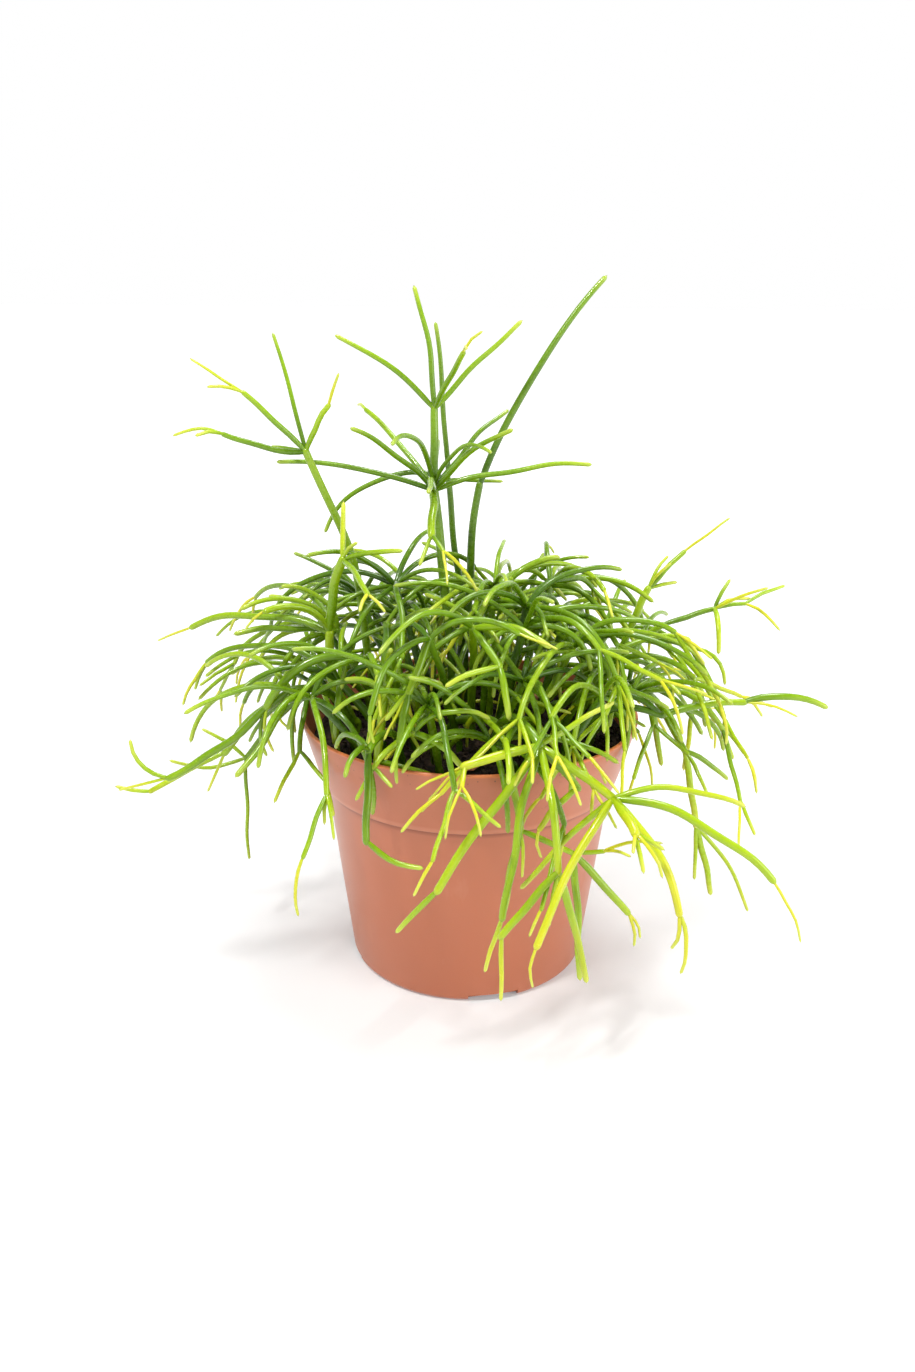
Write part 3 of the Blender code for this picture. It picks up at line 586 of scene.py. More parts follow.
def rightHanger():
    ends = stem(toRight, hanging, short, straight, common) + stem(toRight, falling, medium, sprung, fine)
    ends += stem(toFront, hanging, stub, straight, fine)
    middle = stem(toRight - 45, hanging, short, straight, common, ends)
    middle += stem(toRight, dipping, stub, sprung, slim)
    arms = stem(toRight - 30, hanging, short, straight, common)
    arms += stem(toRight - 60, dipping, short, sprung, common, middle)
    bent = stem(toRight - 15, falling, short, sprung, slim)
    bent += stem(toFront - 30, hanging, short, straight, slim)
    arms += stem(toRight, lowRise, stub, arched, common, bent)
    return stem(toRight - 15, slanted, short, arched, thick, arms)


def horizon():
    outer = stem(toRight, lowRise, short, sprung, common, stem(toRight, lowRise, short, arched, common))
    outer += whorl(2, toBack, 150, lowRise, medium, bowed, slim)
    return stem(toRight - 15, steep, medium, bowed, common, outer)


def flag():
    ends = stem(toRight + 15, slanted, stub, straight, slim) + stem(toRight + 15, lowRise, bud, sprung, fine)
    upper = stem(toRight + 15, steep, stub, straight, thick, ends)
    return stem(toRight, lowRise, medium, -arched, thick, upper)


def antler():
    ends = stem(toRight, lowRise, bud, sprung, fine) + stem(toRight + 30, steep, bud, sprung, fine)
    ends += stem(toFront, level, stub, bowed, slim)
    upper = stem(toRight, lowRise, stub, straight, slim, ends)
    return stem(toRight - 15, slanted, long, straight, common, upper)


def cascade():
    lower = stem(toRight - 15, level, stub, bowed, fine) + stem(toRight - 60, falling, short, sprung, slim)
    arms = stem(toRight - 15, lowRise, stub, arched, common, lower)
    arms += stem(toRight - 45, lowRise, short, bowed, slim)
    return stem(toRight - 15, steep, medium, sprung, common, arms)


def perch():
    tops = stem(toFront - 30, level, short, arched, thick) + stem(toRight + 15, slanted, stub, arched, common)
    tops += stem(toFront + 30, dipping, short, straight, slim)
    return stem(toFront + 30, upright, long, sprung, thick, tops)


def centrePiece():
    lower = stem(toRight - 45, falling, stub, sprung, common) + stem(toLeft + 30, level, stub, sprung, slim)
    arms = stem(toRight - 30, lowRise, short, arched, common)
    arms += stem(toFront + 30, dipping, stub, straight, common, lower)
    arms += whorl(2, toLeft, 90, lowRise, long, bowed, slim)
    return stem(toFront, steep, long, sprung, thick, arms)


def paleFork():
    lower = stem(toLeft + 60, hanging, stub, straight, common)
    lower += stem(toLeft + 15, falling, bud, straight, slim)
    arms = stem(toLeft + 60, falling, stub, straight, common, lower)
    arms += whorl(3, toRight, 240, lowRise, medium, bowed, slim)
    return stem(toFront - 15, steep, long, straight, common, arms)


def crownShoot(place, chance):
    root = placeOnPeat(place)
    share = root.length / (peatRadius * plant["crownShare"])
    outward = math.degrees(math.atan2(root.y, root.x))
    lean = upright - plant["edgeLean"] * share + chance.uniform(-plant["leanPlay"], plant["leanPlay"])
    fullness = plant["middleHeight"] + (plant["edgeHeight"] - plant["middleHeight"]) * share
    height = chance.uniform(short, long) * fullness
    count = chance.choice((3, 4))
    arms = whorl(count, chance.uniform(0, 360), 360, lowRise, chance.uniform(medium, long), bowed, slim)
    for arm in arms[:3]:
        forks = chance.choice((1, 2))
        length = chance.uniform(stub, short)
        arm["then"] = whorl(forks, arm["heading"], plant["forkSpread"], falling, length, straight, fine)
    heading = outward + chance.uniform(-plant["turnPlay"], plant["turnPlay"])
    return stem(heading, lean, height, straight, chance.choice((common, thick)), arms)


namedShoots = {  # each with its recipe and its place on the peat
    "tall_wand": (tallWand, 6), "mast": (mast, 1), "slim_mast": (slimMast, 19),
    "candelabra": (candelabra, 30), "rosette": (rosette, 7), "elbow": (elbow, 12),
    "bow": (bow, 38), "long_arc": (longArc, 20),
    "low_sweep": (lowSweep, 46), "left_fan": (leftFan, 17), "trailing_left": (trailingLeft, 43),
    "right_hanger": (rightHanger, 42), "horizon": (horizon, 39), "flag": (flag, 29), "antler": (antler, 21),
    "cascade": (cascade, 34), "perch": (perch, 3), "centre_piece": (centrePiece, 2),
    "pale_fork": (paleFork, 15), "fork": (fork, 31), "wishbone": (wishbone, 28),
    "front_loop": (frontLoop, 41), "crook": (crook, 33),
}
chipPlaces = {"bark_chip_front": 36, "bark_chip_left": 25, "bark_chip_back": 37}


def listShoots():
    shoots = [("shoot_" + name, place, make()[0]) for name, (make, place) in namedShoots.items()]
    taken = {place for _, place in namedShoots.values()} | set(chipPlaces.values())
    for place in sorted(set(range(plant["placeCount"])) - taken):
        chance = random.Random(seeds["crown"] + place)
        shoots.append((f"shoot_crown_{place:02d}", place, crownShoot(place, chance)[0]))
    return shoots


# the extra young growth that fills the crown and ends the shoots

filling = {
    "arms": 8, "armTurn": (-30, 30), "armRise": (0, 60), "armLength": (28, 50), "armSag": (40, 110),
    "armGirth": (0.75, 1.05), "crownTwigs": 0.6, "namedTwigs": 0.3, "leastParent": 0.7 * mm,
    "twigTurn": (8, 34), "twigRise": (-15, 25), "twigLength": (8, 20), "twigSag": (0, 60),
    "twigGirth": (0.45, 0.7), "roomBeyond": 3 * mm,
}
bareShoots = ("shoot_tall_wand", "shoot_slim_mast")


def drawSizes(kind, chance):
    return [chance.uniform(*filling[kind + size]) for size in ("Turn", "Rise", "Length", "Sag", "Girth")]


def youngPlans(name, parent, chance):
    if name in bareShoots:
        return []
    last = parent["line"][-1] - parent["line"][-2]
    heading = math.degrees(math.atan2(last[1], last[0]))
    rise = math.degrees(math.asin(last[2] / np.linalg.norm(last)))
    inCrown = "crown" in name
    plans = []
    if inCrown and parent["order"] == 0:
        for number in range(filling["arms"]):
            turn, lift, *sizes = drawSizes("arm", chance)
            plans += stem(heading + (360 * number / filling["arms"] + turn), lift, *sizes)
    share = filling["crownTwigs"] if inCrown else filling["namedTwigs"]
    if parent["order"] > 0 and parent["girth"] > filling["leastParent"] and chance.random() < share:
        for side in (-1, 1)[: chance.choice((1, 2))]:
            turn, lift, *sizes = drawSizes("twig", chance)
            plans += stem(heading + side * turn, rise + lift, *sizes)
    return plans


def fillOut(shoots, grown, thicket):
    for owner, (name, _, _) in enumerate(shoots):
        chance = random.Random(seeds["young"] + owner)
        for parent in list(grown[owner]):
            for plan in youngPlans(name, parent, chance):
                addBranch(thicket, grown[owner], parent, plan, owner, chance, youngGrowth)


# stems as round tubes; widths, rings and round ends are shares of the half width

stems = {
    "sides": 10, "step": 2.6 * mm, "footRings": (0, 0.35, 0.8, 1.5, 2.6), "tip": 0.56,
    "tipRings": (1.3, 0.95, 0.62, 0.34, 0.15, 0.04, 0), "tipRound": 1.3, "tipLeast": 0.01, "pinch": 0.72,
    "pinchLength": 4.5, "swell": 0.05, "taper": 0.24, "forkTaper": 0.08, "taperBend": 1.6, "sway": 0.016,
    "swayTurns": (1.5, 3), "swayStart": (0, 6), "buried": 0.8, "shootAge": (-0.05, 0.12),
    "stemAge": (-0.14, 0.14), "fineBelow": 0.65 * mm, "fineAge": 0.3, "tipAge": 0.22, "youngTip": 8 * mm,
    "scaleSpacing": 8.5 * mm, "scaleSize": 0.22 * mm, "scaleShape": (0.5, 1, 1.5),
}
kinds = {  # how young a shoot's first stem is, and how much younger each order is
    "mature_stem": (0.27, 0.14), "crown_stem": (0.20, 0.16), "young_stem": (0.25, 0.11),
}


def curveThrough(line, places):
    # a smooth curve through the line's points; places run from 0 to its last point
    padded = np.vstack([2 * line[0] - line[1], line, 2 * line[-1] - line[-2]])
    first = np.clip(places.astype(int), 0, len(line) - 2)
    t = (places - first)[:, None]
    a, b, c, d = (padded[first + i] for i in range(4))
    return 0.5 * (2 * b + (c - a) * t + (2 * a - 5 * b + 4 * c - d) * t**2 + (3 * b - a - 3 * c + d) * t**3)


def ringPlaces(girth, full):  # distances along a stem of this length, close together at both ends
    near = girth * np.array(stems["footRings"])
    end = full - girth * np.array(stems["tipRings"])
    count = max(3, round((end[0] - near[-1]) / stems["step"]))
    return np.concatenate([near, np.linspace(near[-1], end[0], count)[1:-1], end])


def swayed(centres, line, share, length, chance):
    across = np.cross(line[-1] - line[0], [chance.uniform(-1, 1) for _ in range(3)])
    across /= np.linalg.norm(across)
    turns = chance.uniform(*stems["swayTurns"]) * math.pi
    wave = np.sin(math.pi * share) * np.sin(turns * share + chance.uniform(*stems["swayStart"]))
    return centres + across * (wave * stems["sway"] * length)[:, None]


def stemWidths(part, along, full):
    girth, share = part["girth"], along / full
    pinch = stems["pinch"]
    width = girth * (pinch + (1 - pinch) * smooth(along / (stems["pinchLength"] * girth)))
    width *= 1 + stems["swell"] * np.sin(math.pi * share)
    taper = stems["taper"] if part["ends"] else stems["forkTaper"]
    width *= 1 - taper * share ** stems["taperBend"]
    left = np.clip((full - along) / (stems["tipRound"] * girth), 0, 1)
    return width * np.sqrt(np.clip(1 - (1 - left) ** 2, stems["tipLeast"], 1))


def shapeStem(part, kind, shootAge, chance, foot=None):
    line, girth = part["line"], part["girth"]
    reach = np.linalg.norm(line[1] - line[0])
    length = reach * (len(line) - 1)
    full = length + stems["tip"] * girth
    along = ringPlaces(girth, full)
    share = along / full
    centres = swayed(curveThrough(line, along / reach), line, share, length, chance)
    width = stemWidths(part, along, full)
    base, step = kinds[kind]
    age = base + shootAge + step * part["order"] + chance.uniform(*stems["stemAge"])
    if girth < stems["fineBelow"]:
        age += stems["fineAge"]
    youth = age + stems["tipAge"] * share
    fresh = smooth((along - (full - stems["youngTip"])) / stems["youngTip"]) * part["ends"]
    if foot is not None:  # the rooted stem runs on down into the peat, without a pinch
        centres = np.vstack([foot, centres])
        width = np.concatenate([[stems["buried"] * girth], [girth] * 3, width[3:]])
        youth = np.concatenate([[age], youth])
        fresh = np.concatenate([[0.0], fresh])
    return centres, width, youth, fresh


def stemGraph():
    sizes = {"Sides": "Int", "Scale Spacing": "Float", "Scale Size": "Float", "Look": "Material"}
    graph = Graph("stem tubes", sizes)
    node = graph.node
    curve = node("MeshToCurve", inputs={"Mesh": graph.given("Geometry")})
    ring = node("CurvePrimitiveCircle", inputs={"Resolution": graph.given("Sides"), "Radius": 1.0})
    tube = node("CurveToMesh", inputs={
        "Curve": curve, "Profile Curve": ring, "Scale": graph.read("girth"), "Fill Caps": True,
    })
    spots = node("ResampleCurve", {"mode": "LENGTH"}, {
        "Curve": curve, "Length": graph.given("Scale Spacing"),
    })
    scale = node("MeshIcoSphere", inputs={"Radius": graph.given("Scale Size"), "Subdivisions": 1})
    tangent = node("InputTangent")
    standing = node("FunctionNodeAlignRotationToVector", {"axis": "Z"}, {"Vector": tangent})
    index = node("InputIndex")
    spin = index * math.radians(plant["goldenAngle"])
    spinning = node("FunctionNodeAxisAngleToRotation", inputs={"Axis": (0, 0, 1), "Angle": spin})
    facing = node("FunctionNodeRotateRotation", {"rotation_space": "LOCAL"}, {
        "Rotation": standing, "Rotate By": spinning,
    })
    scales = node("InstanceOnPoints", inputs={
        "Points": spots, "Instance": scale, "Rotation": facing, "Scale": stems["scaleShape"],
    })
    out = node("ShaderNodeCombineXYZ", inputs={"X": graph.read("girth")})
    scales = node("TranslateInstances", inputs={
        "Instances": scales, "Translation": out, "Local Space": True,
    })
    scales = node("RealizeInstances", inputs={"Geometry": scales})
    scales = node("StoreNamedAttribute", {"data_type": "FLOAT", "domain": "POINT"}, {
        "Geometry": scales, "Name": "scale", "Value": 1.0,
    })
    graph.finish(graph.join(scales, tube), graph.given("Look"))
    return graph


def buildShoot(name, place, parts, kind, look, graph, chance):
    root = placeOnPeat(place)
    footHeight = soilHeight(root.length) - peat["socketDepth"] + peat["socketClearance"]
    foot = np.array([root.x, root.y, footHeight])
    shootAge = chance.uniform(*stems["shootAge"])
    corners, edges, values = [], [], {"girth": [], "youth": [], "fresh": []}
    for part in parts:
        centres, *runs = shapeStem(part, kind, shootAge, chance, foot if part is parts[0] else None)
        start = sum(len(run) for run in corners)
        edges += [(start + i, start + i + 1) for i in range(len(centres) - 1)]
        corners.append(centres)
        for label, run in zip(values, runs):
            values[label].append(run)
    mesh = bpy.data.meshes.new(name)
    mesh.from_pydata(np.vstack(corners).tolist(), edges, [])
    for label, runs in values.items():
        stored = mesh.attributes.new(label, "FLOAT", "POINT")
        stored.data.foreach_set("value", np.concatenate(runs).astype(np.float32))
    made = addObject(name.replace("shoot", "grown"), mesh)
    scales = {"Scale Spacing": stems["scaleSpacing"], "Scale Size": stems["scaleSize"]}
    grow(made, graph, {"Sides": stems["sides"], **scales, "Look": look})
    made.data.shade_smooth()
    finishPiece(made, name)


stemLook = {
    "greens": [  # from the oldest stems to the youngest tips
        (0.0, (0.014, 0.044, 0.001)), (0.3, (0.058, 0.140, 0.001)), (0.55, (0.175, 0.315, 0.003)),
        (0.78, (0.34, 0.48, 0.007)), (1.0, (0.58, 0.57, 0.018)),
    ],
    "plain": (0.175, 0.315, 0.003), "tip": (0.56, 0.62, 0.09), "scale": (0.34, 0.26, 0.10),
    "patchSize": 22 * mm, "patchAge": 0.35, "mottleSize": 1.6 * mm, "mottleAge": 0.12, "scaleShare": 0.75,
    "tipByAge": 0.6, "tipAlways": 0.05, "roughnessPlay": 0.2, "bumpSize": 1.4 * mm, "bumpHeight": 0.2 * mm,
}


def stemFinish(name, roughness):
    finish = Finish(
        name, stemLook["plain"], Roughness=roughness, Specular_IOR_Level=0.38, Coat_Weight=0.22,
        Coat_Roughness=0.06, Subsurface_Weight=0.1, Subsurface_Scale=0.0015,
        Subsurface_Radius=(0.5, 1.0, 0.1),
    )
    patches = finish.grain(stemLook["patchSize"], 2) - 0.5
    mottle = finish.grain(stemLook["mottleSize"], 3) - 0.5
    youth = finish.read("youth") + patches * stemLook["patchAge"] + mottle * stemLook["mottleAge"]
    green = finish.node("ValToRGB", {"stops": stemLook["greens"]}, {"Fac": youth})
    tipped = finish.read("fresh") * (youth * stemLook["tipByAge"] + stemLook["tipAlways"])
    colour = finish.mix(tipped, green, stemLook["tip"])
    scaled = finish.read("scale") * stemLook["scaleShare"]
    finish.feed("Base Color", finish.mix(scaled, colour, stemLook["scale"]))
    finish.feed("Roughness", roughness + mottle * stemLook["roughnessPlay"])
    finish.bump(finish.grain(stemLook["bumpSize"], 2), 0.12, stemLook["bumpHeight"])
    return finish.made


# pot


def rounded(centre, radius, start, end, steps):
    angles = [math.radians(start + (end - start) * i / steps) for i in range(steps + 1)]
    return [(centre[0] + radius * math.cos(a), centre[1] + radius * math.sin(a)) for a in angles]


def between(start, end, steps):  # the points inside a straight run, without its ends
    return [tuple(a + (b - a) * i / steps for a, b in zip(start, end)) for i in range(1, steps)]


def turned(profile, sides):
    bm = bmesh.new()
    rings = []
    for radius, z in profile:
        angles = [math.tau * i / sides for i in range(sides if radius > 0 else 1)]
        rings.append([bm.verts.new((radius * math.cos(a), radius * math.sin(a), z)) for a in angles])
    for lower, upper in zip(rings, rings[1:]):
        for i in range(sides):
            k = (i + 1) % sides
            below = [lower[i % len(lower)], lower[k % len(lower)]]
            above = [upper[k % len(upper)], upper[i % len(upper)]]
            bm.faces.new(list(dict.fromkeys(below + above)))
    return bm


def potProfile():
    wall, lift, edge, lip = pot["wall"], pot["floorLift"], pot["edgeRound"], pot["lipRound"]
    height, rim, base, pad = pot["height"], pot["rimRadius"], pot["baseRadius"], pot["padRadius"]
    corner = pot["baseCorner"]
    slope = wall * 0.5
    fillet = edge * 0.4
    under = [(0, 0), (pad, 0), (pad + slope, lift), (footInner - slope, lift), (footInner, 0)]
    outside = rounded((base - corner, corner), corner, -90, 0, 8)
    outside += between((base, corner), (bodyRadius, collarFoot), 6)
    outside += rounded((bodyRadius + fillet, collarFoot - fillet), fillet, 180, 90, 3)
    outside += rounded((collarRadius - edge, collarFoot + edge), edge, -90, 0, 5)
    outside += between((collarRadius, collarFoot), (rim, height - lip), 4)
    top = rounded((rim - lip, height - lip), lip, 0, 90, 6)
    top += rounded((rim - wall + lip, height - lip), lip, 90, 180, 6)
    inside = [
        (collarRadius - wall, ledgeHigh), (bodyRadius - wall, ledgeLow), (base - wall, corner),
        (base - corner, wall), (footInner + wall * 0.8, wall), (footInner + wall * 0.8 - slope, lift + wall),
        (pad - wall * 0.2, lift + wall), (pad - wall * 0.8, wall), (0, wall),
    ]
    return under + outside + top + inside


def potCutters():
    bm = bmesh.new()
    ringRadius = (pot["padRadius"] + footInner) / 2
    for i in range(pot["holeCount"]):
        place = polar(ringRadius, pot["notchBearing"] + 360 * (i + 0.5) / pot["holeCount"], pot["floorLift"])
        bmesh.ops.create_cone(
            bm, cap_ends=True, segments=36, radius1=pot["holeRadius"], radius2=pot["holeRadius"],
            depth=6 * pot["wall"], matrix=Matrix.Translation(place),
        )
    reach = pot["footWidth"] * 0.8
    for i in range(pot["notchCount"]):
        bearing = pot["notchBearing"] + 360 * i / pot["notchCount"]
        block = Matrix.Translation(polar(pot["baseRadius"], bearing))
        block @= Matrix.Rotation(math.radians(bearing), 4, "Z")
        block @= Matrix.Diagonal((2 * reach, pot["notchWidth"], 2 * pot["notchHeight"], 1))
        bmesh.ops.create_cube(bm, size=1, matrix=block)
    return bm


def buildPot():
    made = addObject("nursery_pot", meshOf("nursery_pot", turned(potProfile(), pot["sides"])))
    cutter = addObject("pot_cutter", meshOf("pot_cutter", potCutters()))
    cut = made.modifiers.new("cut", "BOOLEAN")
    cut.object = cutter
    cut.solver = "EXACT"
    makePlain(made, cut)
    bpy.data.objects.remove(cutter)
    smoothMesh(made.data, 40)
    made.data.materials.clear()
    made.data.materials.append(potFinish())
    finishPiece(made, "pot")


potLook = {
    "plain": (0.465, 0.140, 0.064), "deep": (0.43, 0.12, 0.053), "scuff": (0.62, 0.30, 0.20),
    # edge: painted glow along the rim's top, standing in for light through the thin plastic lip
    # shade: painted shadow under the collar ledge
    # the pale colour after shade is a painted highlight along the collar ledge's edge
    "edge": (0.66, 0.19, 0.05), "shade": (0.20, 0.050, 0.022), "ledgeHighlight": (0.66, 0.30, 0.19),
    "dust": (0.10, 0.055, 0.035), "cloudSize": 45 * mm, "speckSize": 1.3 * mm, "scuffSize": 9 * mm,
    "scuffStretch": (1, 1, 0.22), "roughness": 0.36, "bumpSize": 0.7 * mm, "bumpHeight": 0.2 * mm,
}


def potFinish():
    finish = Finish(
        "terracotta plastic", potLook["plain"], Roughness=0.4, Subsurface_Weight=0.08,
        Subsurface_Radius=(1.0, 0.35, 0.15), Subsurface_Scale=0.003, Coat_Weight=0.12, Coat_Roughness=0.3,
    )
    z = finish.node("SeparateXYZ", inputs={"Vector": finish.place()}, out="Z")
    cloud = finish.grain(potLook["cloudSize"], 3)
    speck = finish.grain(potLook["speckSize"], 2, seed=4.0)
    scuff = finish.grain(potLook["scuffSize"], 5, potLook["scuffStretch"], seed=9.0)
    colour = finish.mix((cloud - 0.35) * 0.5, potLook["plain"], potLook["deep"])
    colour = finish.mix(scuff.above(0.62, 0.1) * 0.22, colour, potLook["scuff"])
    # painted glow: the rim's top band is mixed to a brighter orange, as if lit through the thin lip
    colour = finish.mix(z.above(pot["height"] - 1.1 * mm, 0.5 * mm) * 0.7, colour, potLook["edge"])
    # painted shade: a dark band on the body just under the collar ledge, where the ledge casts its shadow
    under = z.above(collarFoot - 2.2 * mm, 1.8 * mm) * (1 - z.above(collarFoot - 0.1 * mm, 0.2 * mm))
    colour = finish.mix(under * 0.8, colour, potLook["shade"])
    # painted highlight: a thin lighter band along the collar ledge's edge, where it catches the light
    ledgeHighlight = z.above(collarFoot + 0.2 * mm, 0.4 * mm) * (1 - z.above(collarFoot + 1.2 * mm, 1.2 * mm))
    colour = finish.mix(ledgeHighlight * 0.25, colour, potLook["ledgeHighlight"])
    nearRim = z.above(pot["height"] - 20 * mm, 18 * mm)
    colour = finish.mix(speck.above(0.69, 0.03) * nearRim * 0.8, colour, potLook["dust"])
    finish.feed("Base Color", colour)
    roughness = potLook["roughness"] + (cloud - 0.5) * 0.15 + scuff.above(0.6, 0.12) * 0.18
    finish.feed("Roughness", roughness)
    finish.bump(finish.grain(potLook["bumpSize"], 2), 0.12, potLook["bumpHeight"])
    return finish.made


# peat


def peatMesh():
    floor = pot["floorLift"] + pot["wall"] + peat["clearance"]
    heights = (floor, ledgeLow, ledgeHigh, peatEdge)
    side = [(innerRadius(z) - peat["clearance"], z) for z in heights]
    radii = [peatRadius * (1 - i / peat["rings"]) for i in range(1, peat["rings"] + 1)]
    bm = turned([(0, floor)] + side + [(radius, soilHeight(radius)) for radius in radii], peat["sides"])
    for corner in bm.verts:
        if corner.co.z > peatEdge - 0.1 * mm and corner.co.xy.length < peatRadius - 0.5 * mm:
            lump = noise.fractal(corner.co * peat["lumpScale"], 0.6, 2.2, 4)
            lump += 0.5 * noise.noise(corner.co * peat["grainScale"])
            corner.co.z += peat["roughness"] * lump
    return meshOf("peat", bm, 180)


def crumbGraph():
    graph = Graph("peat crumbs", {"Per Area": "Float", "Size": "Float", "Look": "Material"})
    node = graph.node
    top = graph.given("Geometry")
    normal = node("InputNormal")
    upward = node("ShaderNodeSeparateXYZ", inputs={"Vector": normal}, out=2)
    isTop = node("FunctionNodeCompare", {"data_type": "FLOAT", "operation": "GREATER_THAN"}, {
        0: upward, 1: 0.5,
    })
    spots = node("DistributePointsOnFaces", inputs={
        "Mesh": top, "Selection": isTop, "Density": graph.given("Per Area"), "Seed": 11,
    })
    crumb = node("MeshIcoSphere", inputs={"Radius": graph.given("Size"), "Subdivisions": 2})
    place = node("InputPosition")
    ragged = node("ShaderNodeTexNoise", inputs={
        "Vector": place, "Scale": peat["grainScale"], "Detail": 2.0,
    }, out=1)
    ragged = node("ShaderNodeVectorMath", {"operation": "SUBTRACT"}, {0: ragged, 1: (0.5, 0.5, 0.5)})
    ragged = node("ShaderNodeVectorMath", {"operation": "SCALE"}, {
        0: ragged, "Scale": peat["crumbRoughness"],
    })
    crumb = node("SetPosition", inputs={"Geometry": crumb, "Offset": ragged})
    turn = node("FunctionNodeRandomValue", {"data_type": "FLOAT_VECTOR"}, {
        0: (0.0, 0.0, 0.0), 1: (6.2, 6.2, 6.2), "Seed": 3,
    })
    size = node("FunctionNodeRandomValue", {"data_type": "FLOAT_VECTOR"}, {
        0: (0.18, 0.18, 0.12), 1: (1.0, 0.8, 0.55), "Seed": 5,
    })
    crumbs = node("InstanceOnPoints", inputs={
        "Points": spots, "Instance": crumb, "Rotation": turn, "Scale": size,
    })
    graph.finish(graph.join(crumbs, top), graph.given("Look"))
    return graph


def peatFinish():
    finish = Finish("peat", peat["dark"], Roughness=0.93, Specular_IOR_Level=0.25)
    lump = finish.grain(2.2 * mm, 3)
    crumb = finish.grain(6 * mm, 2, seed=2.0)
    finish.feed("Base Color", finish.mix(lump.above(0.42, 0.25) * crumb, peat["dark"], peat["light"]))
    finish.bump(finish.grain(0.8 * mm, 5), 0.7, 0.6 * mm)
    return finish.made


def buildPeat():
    made = addObject("peat_top", peatMesh())
    sizes = {"Per Area": peat["crumbsPerArea"], "Size": peat["crumbSize"]}
    grow(made, crumbGraph(), {**sizes, "Look": peatFinish()})
    finishPiece(made, "potting_soil")


# bark chips

chip = {
    "half": (5.6 * mm, 3.4 * mm, 1.3 * mm), "light": (0.50, 0.20, 0.07), "dark": (0.20, 0.075, 0.03),
    "cornerPlay": (0.85, 1.1), "cuts": 5, "lumpScale": 420, "layerScale": 1100, "layerStretch": 3,
    "roughness": 0.35,
}


def chipFinish():
    finish = Finish("bark", chip["light"], Roughness=0.8)
    layers = finish.grain(2.4 * mm, 5, stretch=(1, 1, 4))
    finish.feed("Base Color", finish.mix(layers.above(0.35, 0.3), chip["dark"], chip["light"]))
    finish.bump(layers, 0.6, 0.6 * mm)
    return finish.made


def buildChip(name, place, look, chance):
    root = placeOnPeat(place)
    bm = bmesh.new()
    bmesh.ops.create_icosphere(bm, subdivisions=1, radius=1)
    for corner in bm.verts:
        corner.co *= chance.uniform(*chip["cornerPlay"])
    turn = Matrix.Rotation(math.radians(chance.uniform(0, 180)), 4, "Z")
    bmesh.ops.transform(bm, matrix=turn @ Matrix.Diagonal((*chip["half"], 1)), verts=bm.verts)
    lowest = min(corner.co.z for corner in bm.verts)
    lift = soilHeight(max(root.length - chip["half"][0], 0)) + peat["clearance"] - lowest
    bmesh.ops.translate(bm, vec=Vector((root.x, root.y, lift)), verts=bm.verts)
    bmesh.ops.subdivide_edges(bm, edges=bm.edges, cuts=chip["cuts"], use_grid_fill=True)
    for corner in bm.verts:
        layered = Vector((corner.co.x, corner.co.y, corner.co.z * chip["layerStretch"])) * chip["layerScale"]
        rough = noise.noise(corner.co * chip["lumpScale"]) + 0.5 * noise.noise(layered)
        corner.co += Vector((rough, rough * 0.5, rough * 0.6)) * chip["roughness"] * mm
    made = addObject(name + "_flake", meshOf(name, bm, 55))
    made.data.materials.append(look)
    finishPiece(made, name)


# the whole object

slotOf = {item["node"]: item["material_slot"] for item in frame["record"]["subparts"]}
buildPot()
print("pot made")
buildPeat()
print("peat made")
bark = chipFinish()
for seed, (name, place) in enumerate(chipPlaces.items()):
    buildChip(name, place, bark, random.Random(seed))
print("bark chips made")
thicket = Thicket()
shoots = listShoots()
grown = growPlant(shoots, thicket)
fillOut(shoots, grown, thicket)
print("plant grown:", sum(len(parts) for parts in grown), "stems")
looks = {
    "mature_stem": stemFinish("mature stem", 0.28), "crown_stem": stemFinish("crown stem", 0.26),
    "young_stem": stemFinish("young stem", 0.24),
}
graph = stemGraph()
for number, ((name, place, _), parts) in enumerate(zip(shoots, grown)):
    kind = slotOf[name]
    buildShoot(name, place, parts, kind, looks[kind], graph, random.Random(seeds["shape"] + number))
print("shoots made")


# floor, light and camera

studio = {
    "floor": (0.74, 0.74, 0.735), "floorHalf": 6, "nearGlow": (0.18, 0.19, 0.20), "farGlow": (0.8, 0.8, 0.8),
    "glowStart": 0.2, "glowWidth": 0.6, "low": (1.0, 1.0, 1.0), "high": (0.28, 0.28, 0.28),
    "lowUpTo": 0.28, "highFrom": 0.5, "aim": (0, 0, 0.1),
    "keyAt": (-0.30, -0.42, 1.00), "keySize": 0.13, "keyWatts": 8.0,
    "fillAt": (0.8, -0.45, 0.4), "fillSize": 0.5, "fillWatts": 4.0,
    "topAt": (0.15, 0.20, 1.0), "topSize": 0.3, "topWatts": 6.5,
}
view = {"place": (0, -404.9 * mm, 246.4 * mm), "down": 19.58, "turn": 0.61, "roll": 0.41, "lens": 31.67}


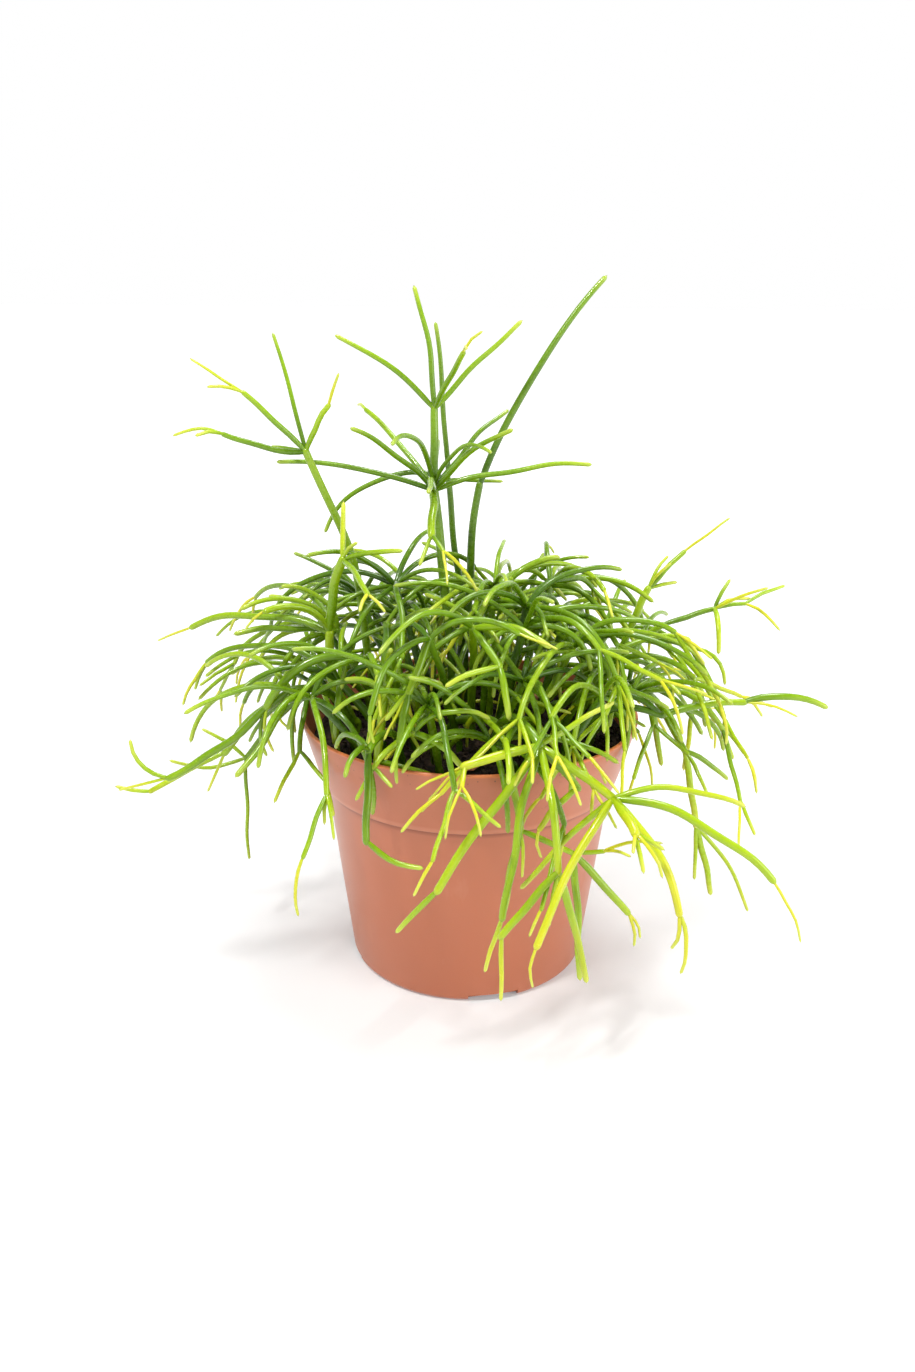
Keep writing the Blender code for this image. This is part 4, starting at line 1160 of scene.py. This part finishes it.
def addLight(name, place, size, watts):
    data = bpy.data.lights.new(name, "AREA")
    data.size = size
    data.energy = watts
    made = addObject(name, data)
    made.location = place
    made.rotation_euler = (Vector(studio["aim"]) - Vector(place)).to_track_quat("-Z", "Y").to_euler()


def setFloor():
    bm = bmesh.new()
    bmesh.ops.create_grid(bm, x_segments=1, y_segments=1, size=studio["floorHalf"])
    floor = addObject("studio_floor", meshOf("studio_floor", bm))
    finish = Finish(
        "studio floor", studio["floor"], Roughness=0.6, Specular_IOR_Level=0.2, Emission_Strength=1
    )
    # painted light: the floor glows, faintly near the pot so its contact shadow is lighter, strongly further
    # off so the floor turns white
    away = finish.node("VectorMath", {"operation": "LENGTH"}, {0: finish.place()}, out="Value")
    glow = away.above(studio["glowStart"], studio["glowWidth"])
    finish.feed("Emission Color", finish.mix(glow, studio["nearGlow"], studio["farGlow"]))
    floor.data.materials.append(finish.made)


def setSky():  # white round the horizon, dimmer overhead
    world = bpy.data.worlds.new("studio")
    bpy.context.scene.world = world
    world.use_nodes = True
    sky = Nodes(world.node_tree, "ShaderNode")
    where = sky.node("TexCoord", out="Generated")
    upward = sky.node("SeparateXYZ", inputs={"Vector": where}, out="Z")
    stops = [(studio["lowUpTo"], studio["low"]), (studio["highFrom"], studio["high"])]
    shade = sky.node("ValToRGB", {"stops": stops}, {"Fac": upward})
    plug(sky.tree, sky.tree.nodes["Background"].inputs["Color"], shade)


def setCamera():
    data = bpy.data.cameras.new("camera")
    data.lens = view["lens"]
    data.clip_start = 0.01
    made = addObject("camera", data)
    turn = Matrix.Rotation(math.radians(view["turn"]), 4, "Z")
    tilt = Matrix.Rotation(math.radians(90 - view["down"]), 4, "X")
    roll = Matrix.Rotation(math.radians(view["roll"]), 4, "Z")
    made.matrix_world = Matrix.Translation(view["place"]) @ turn @ tilt @ roll
    bpy.context.scene.camera = made


setFloor()
setSky()
for light in ("key", "fill", "top"):
    addLight(light, studio[light + "At"], studio[light + "Size"], studio[light + "Watts"])
setCamera()
bpy.context.scene.view_settings.view_transform = "Standard"
print("stage set")
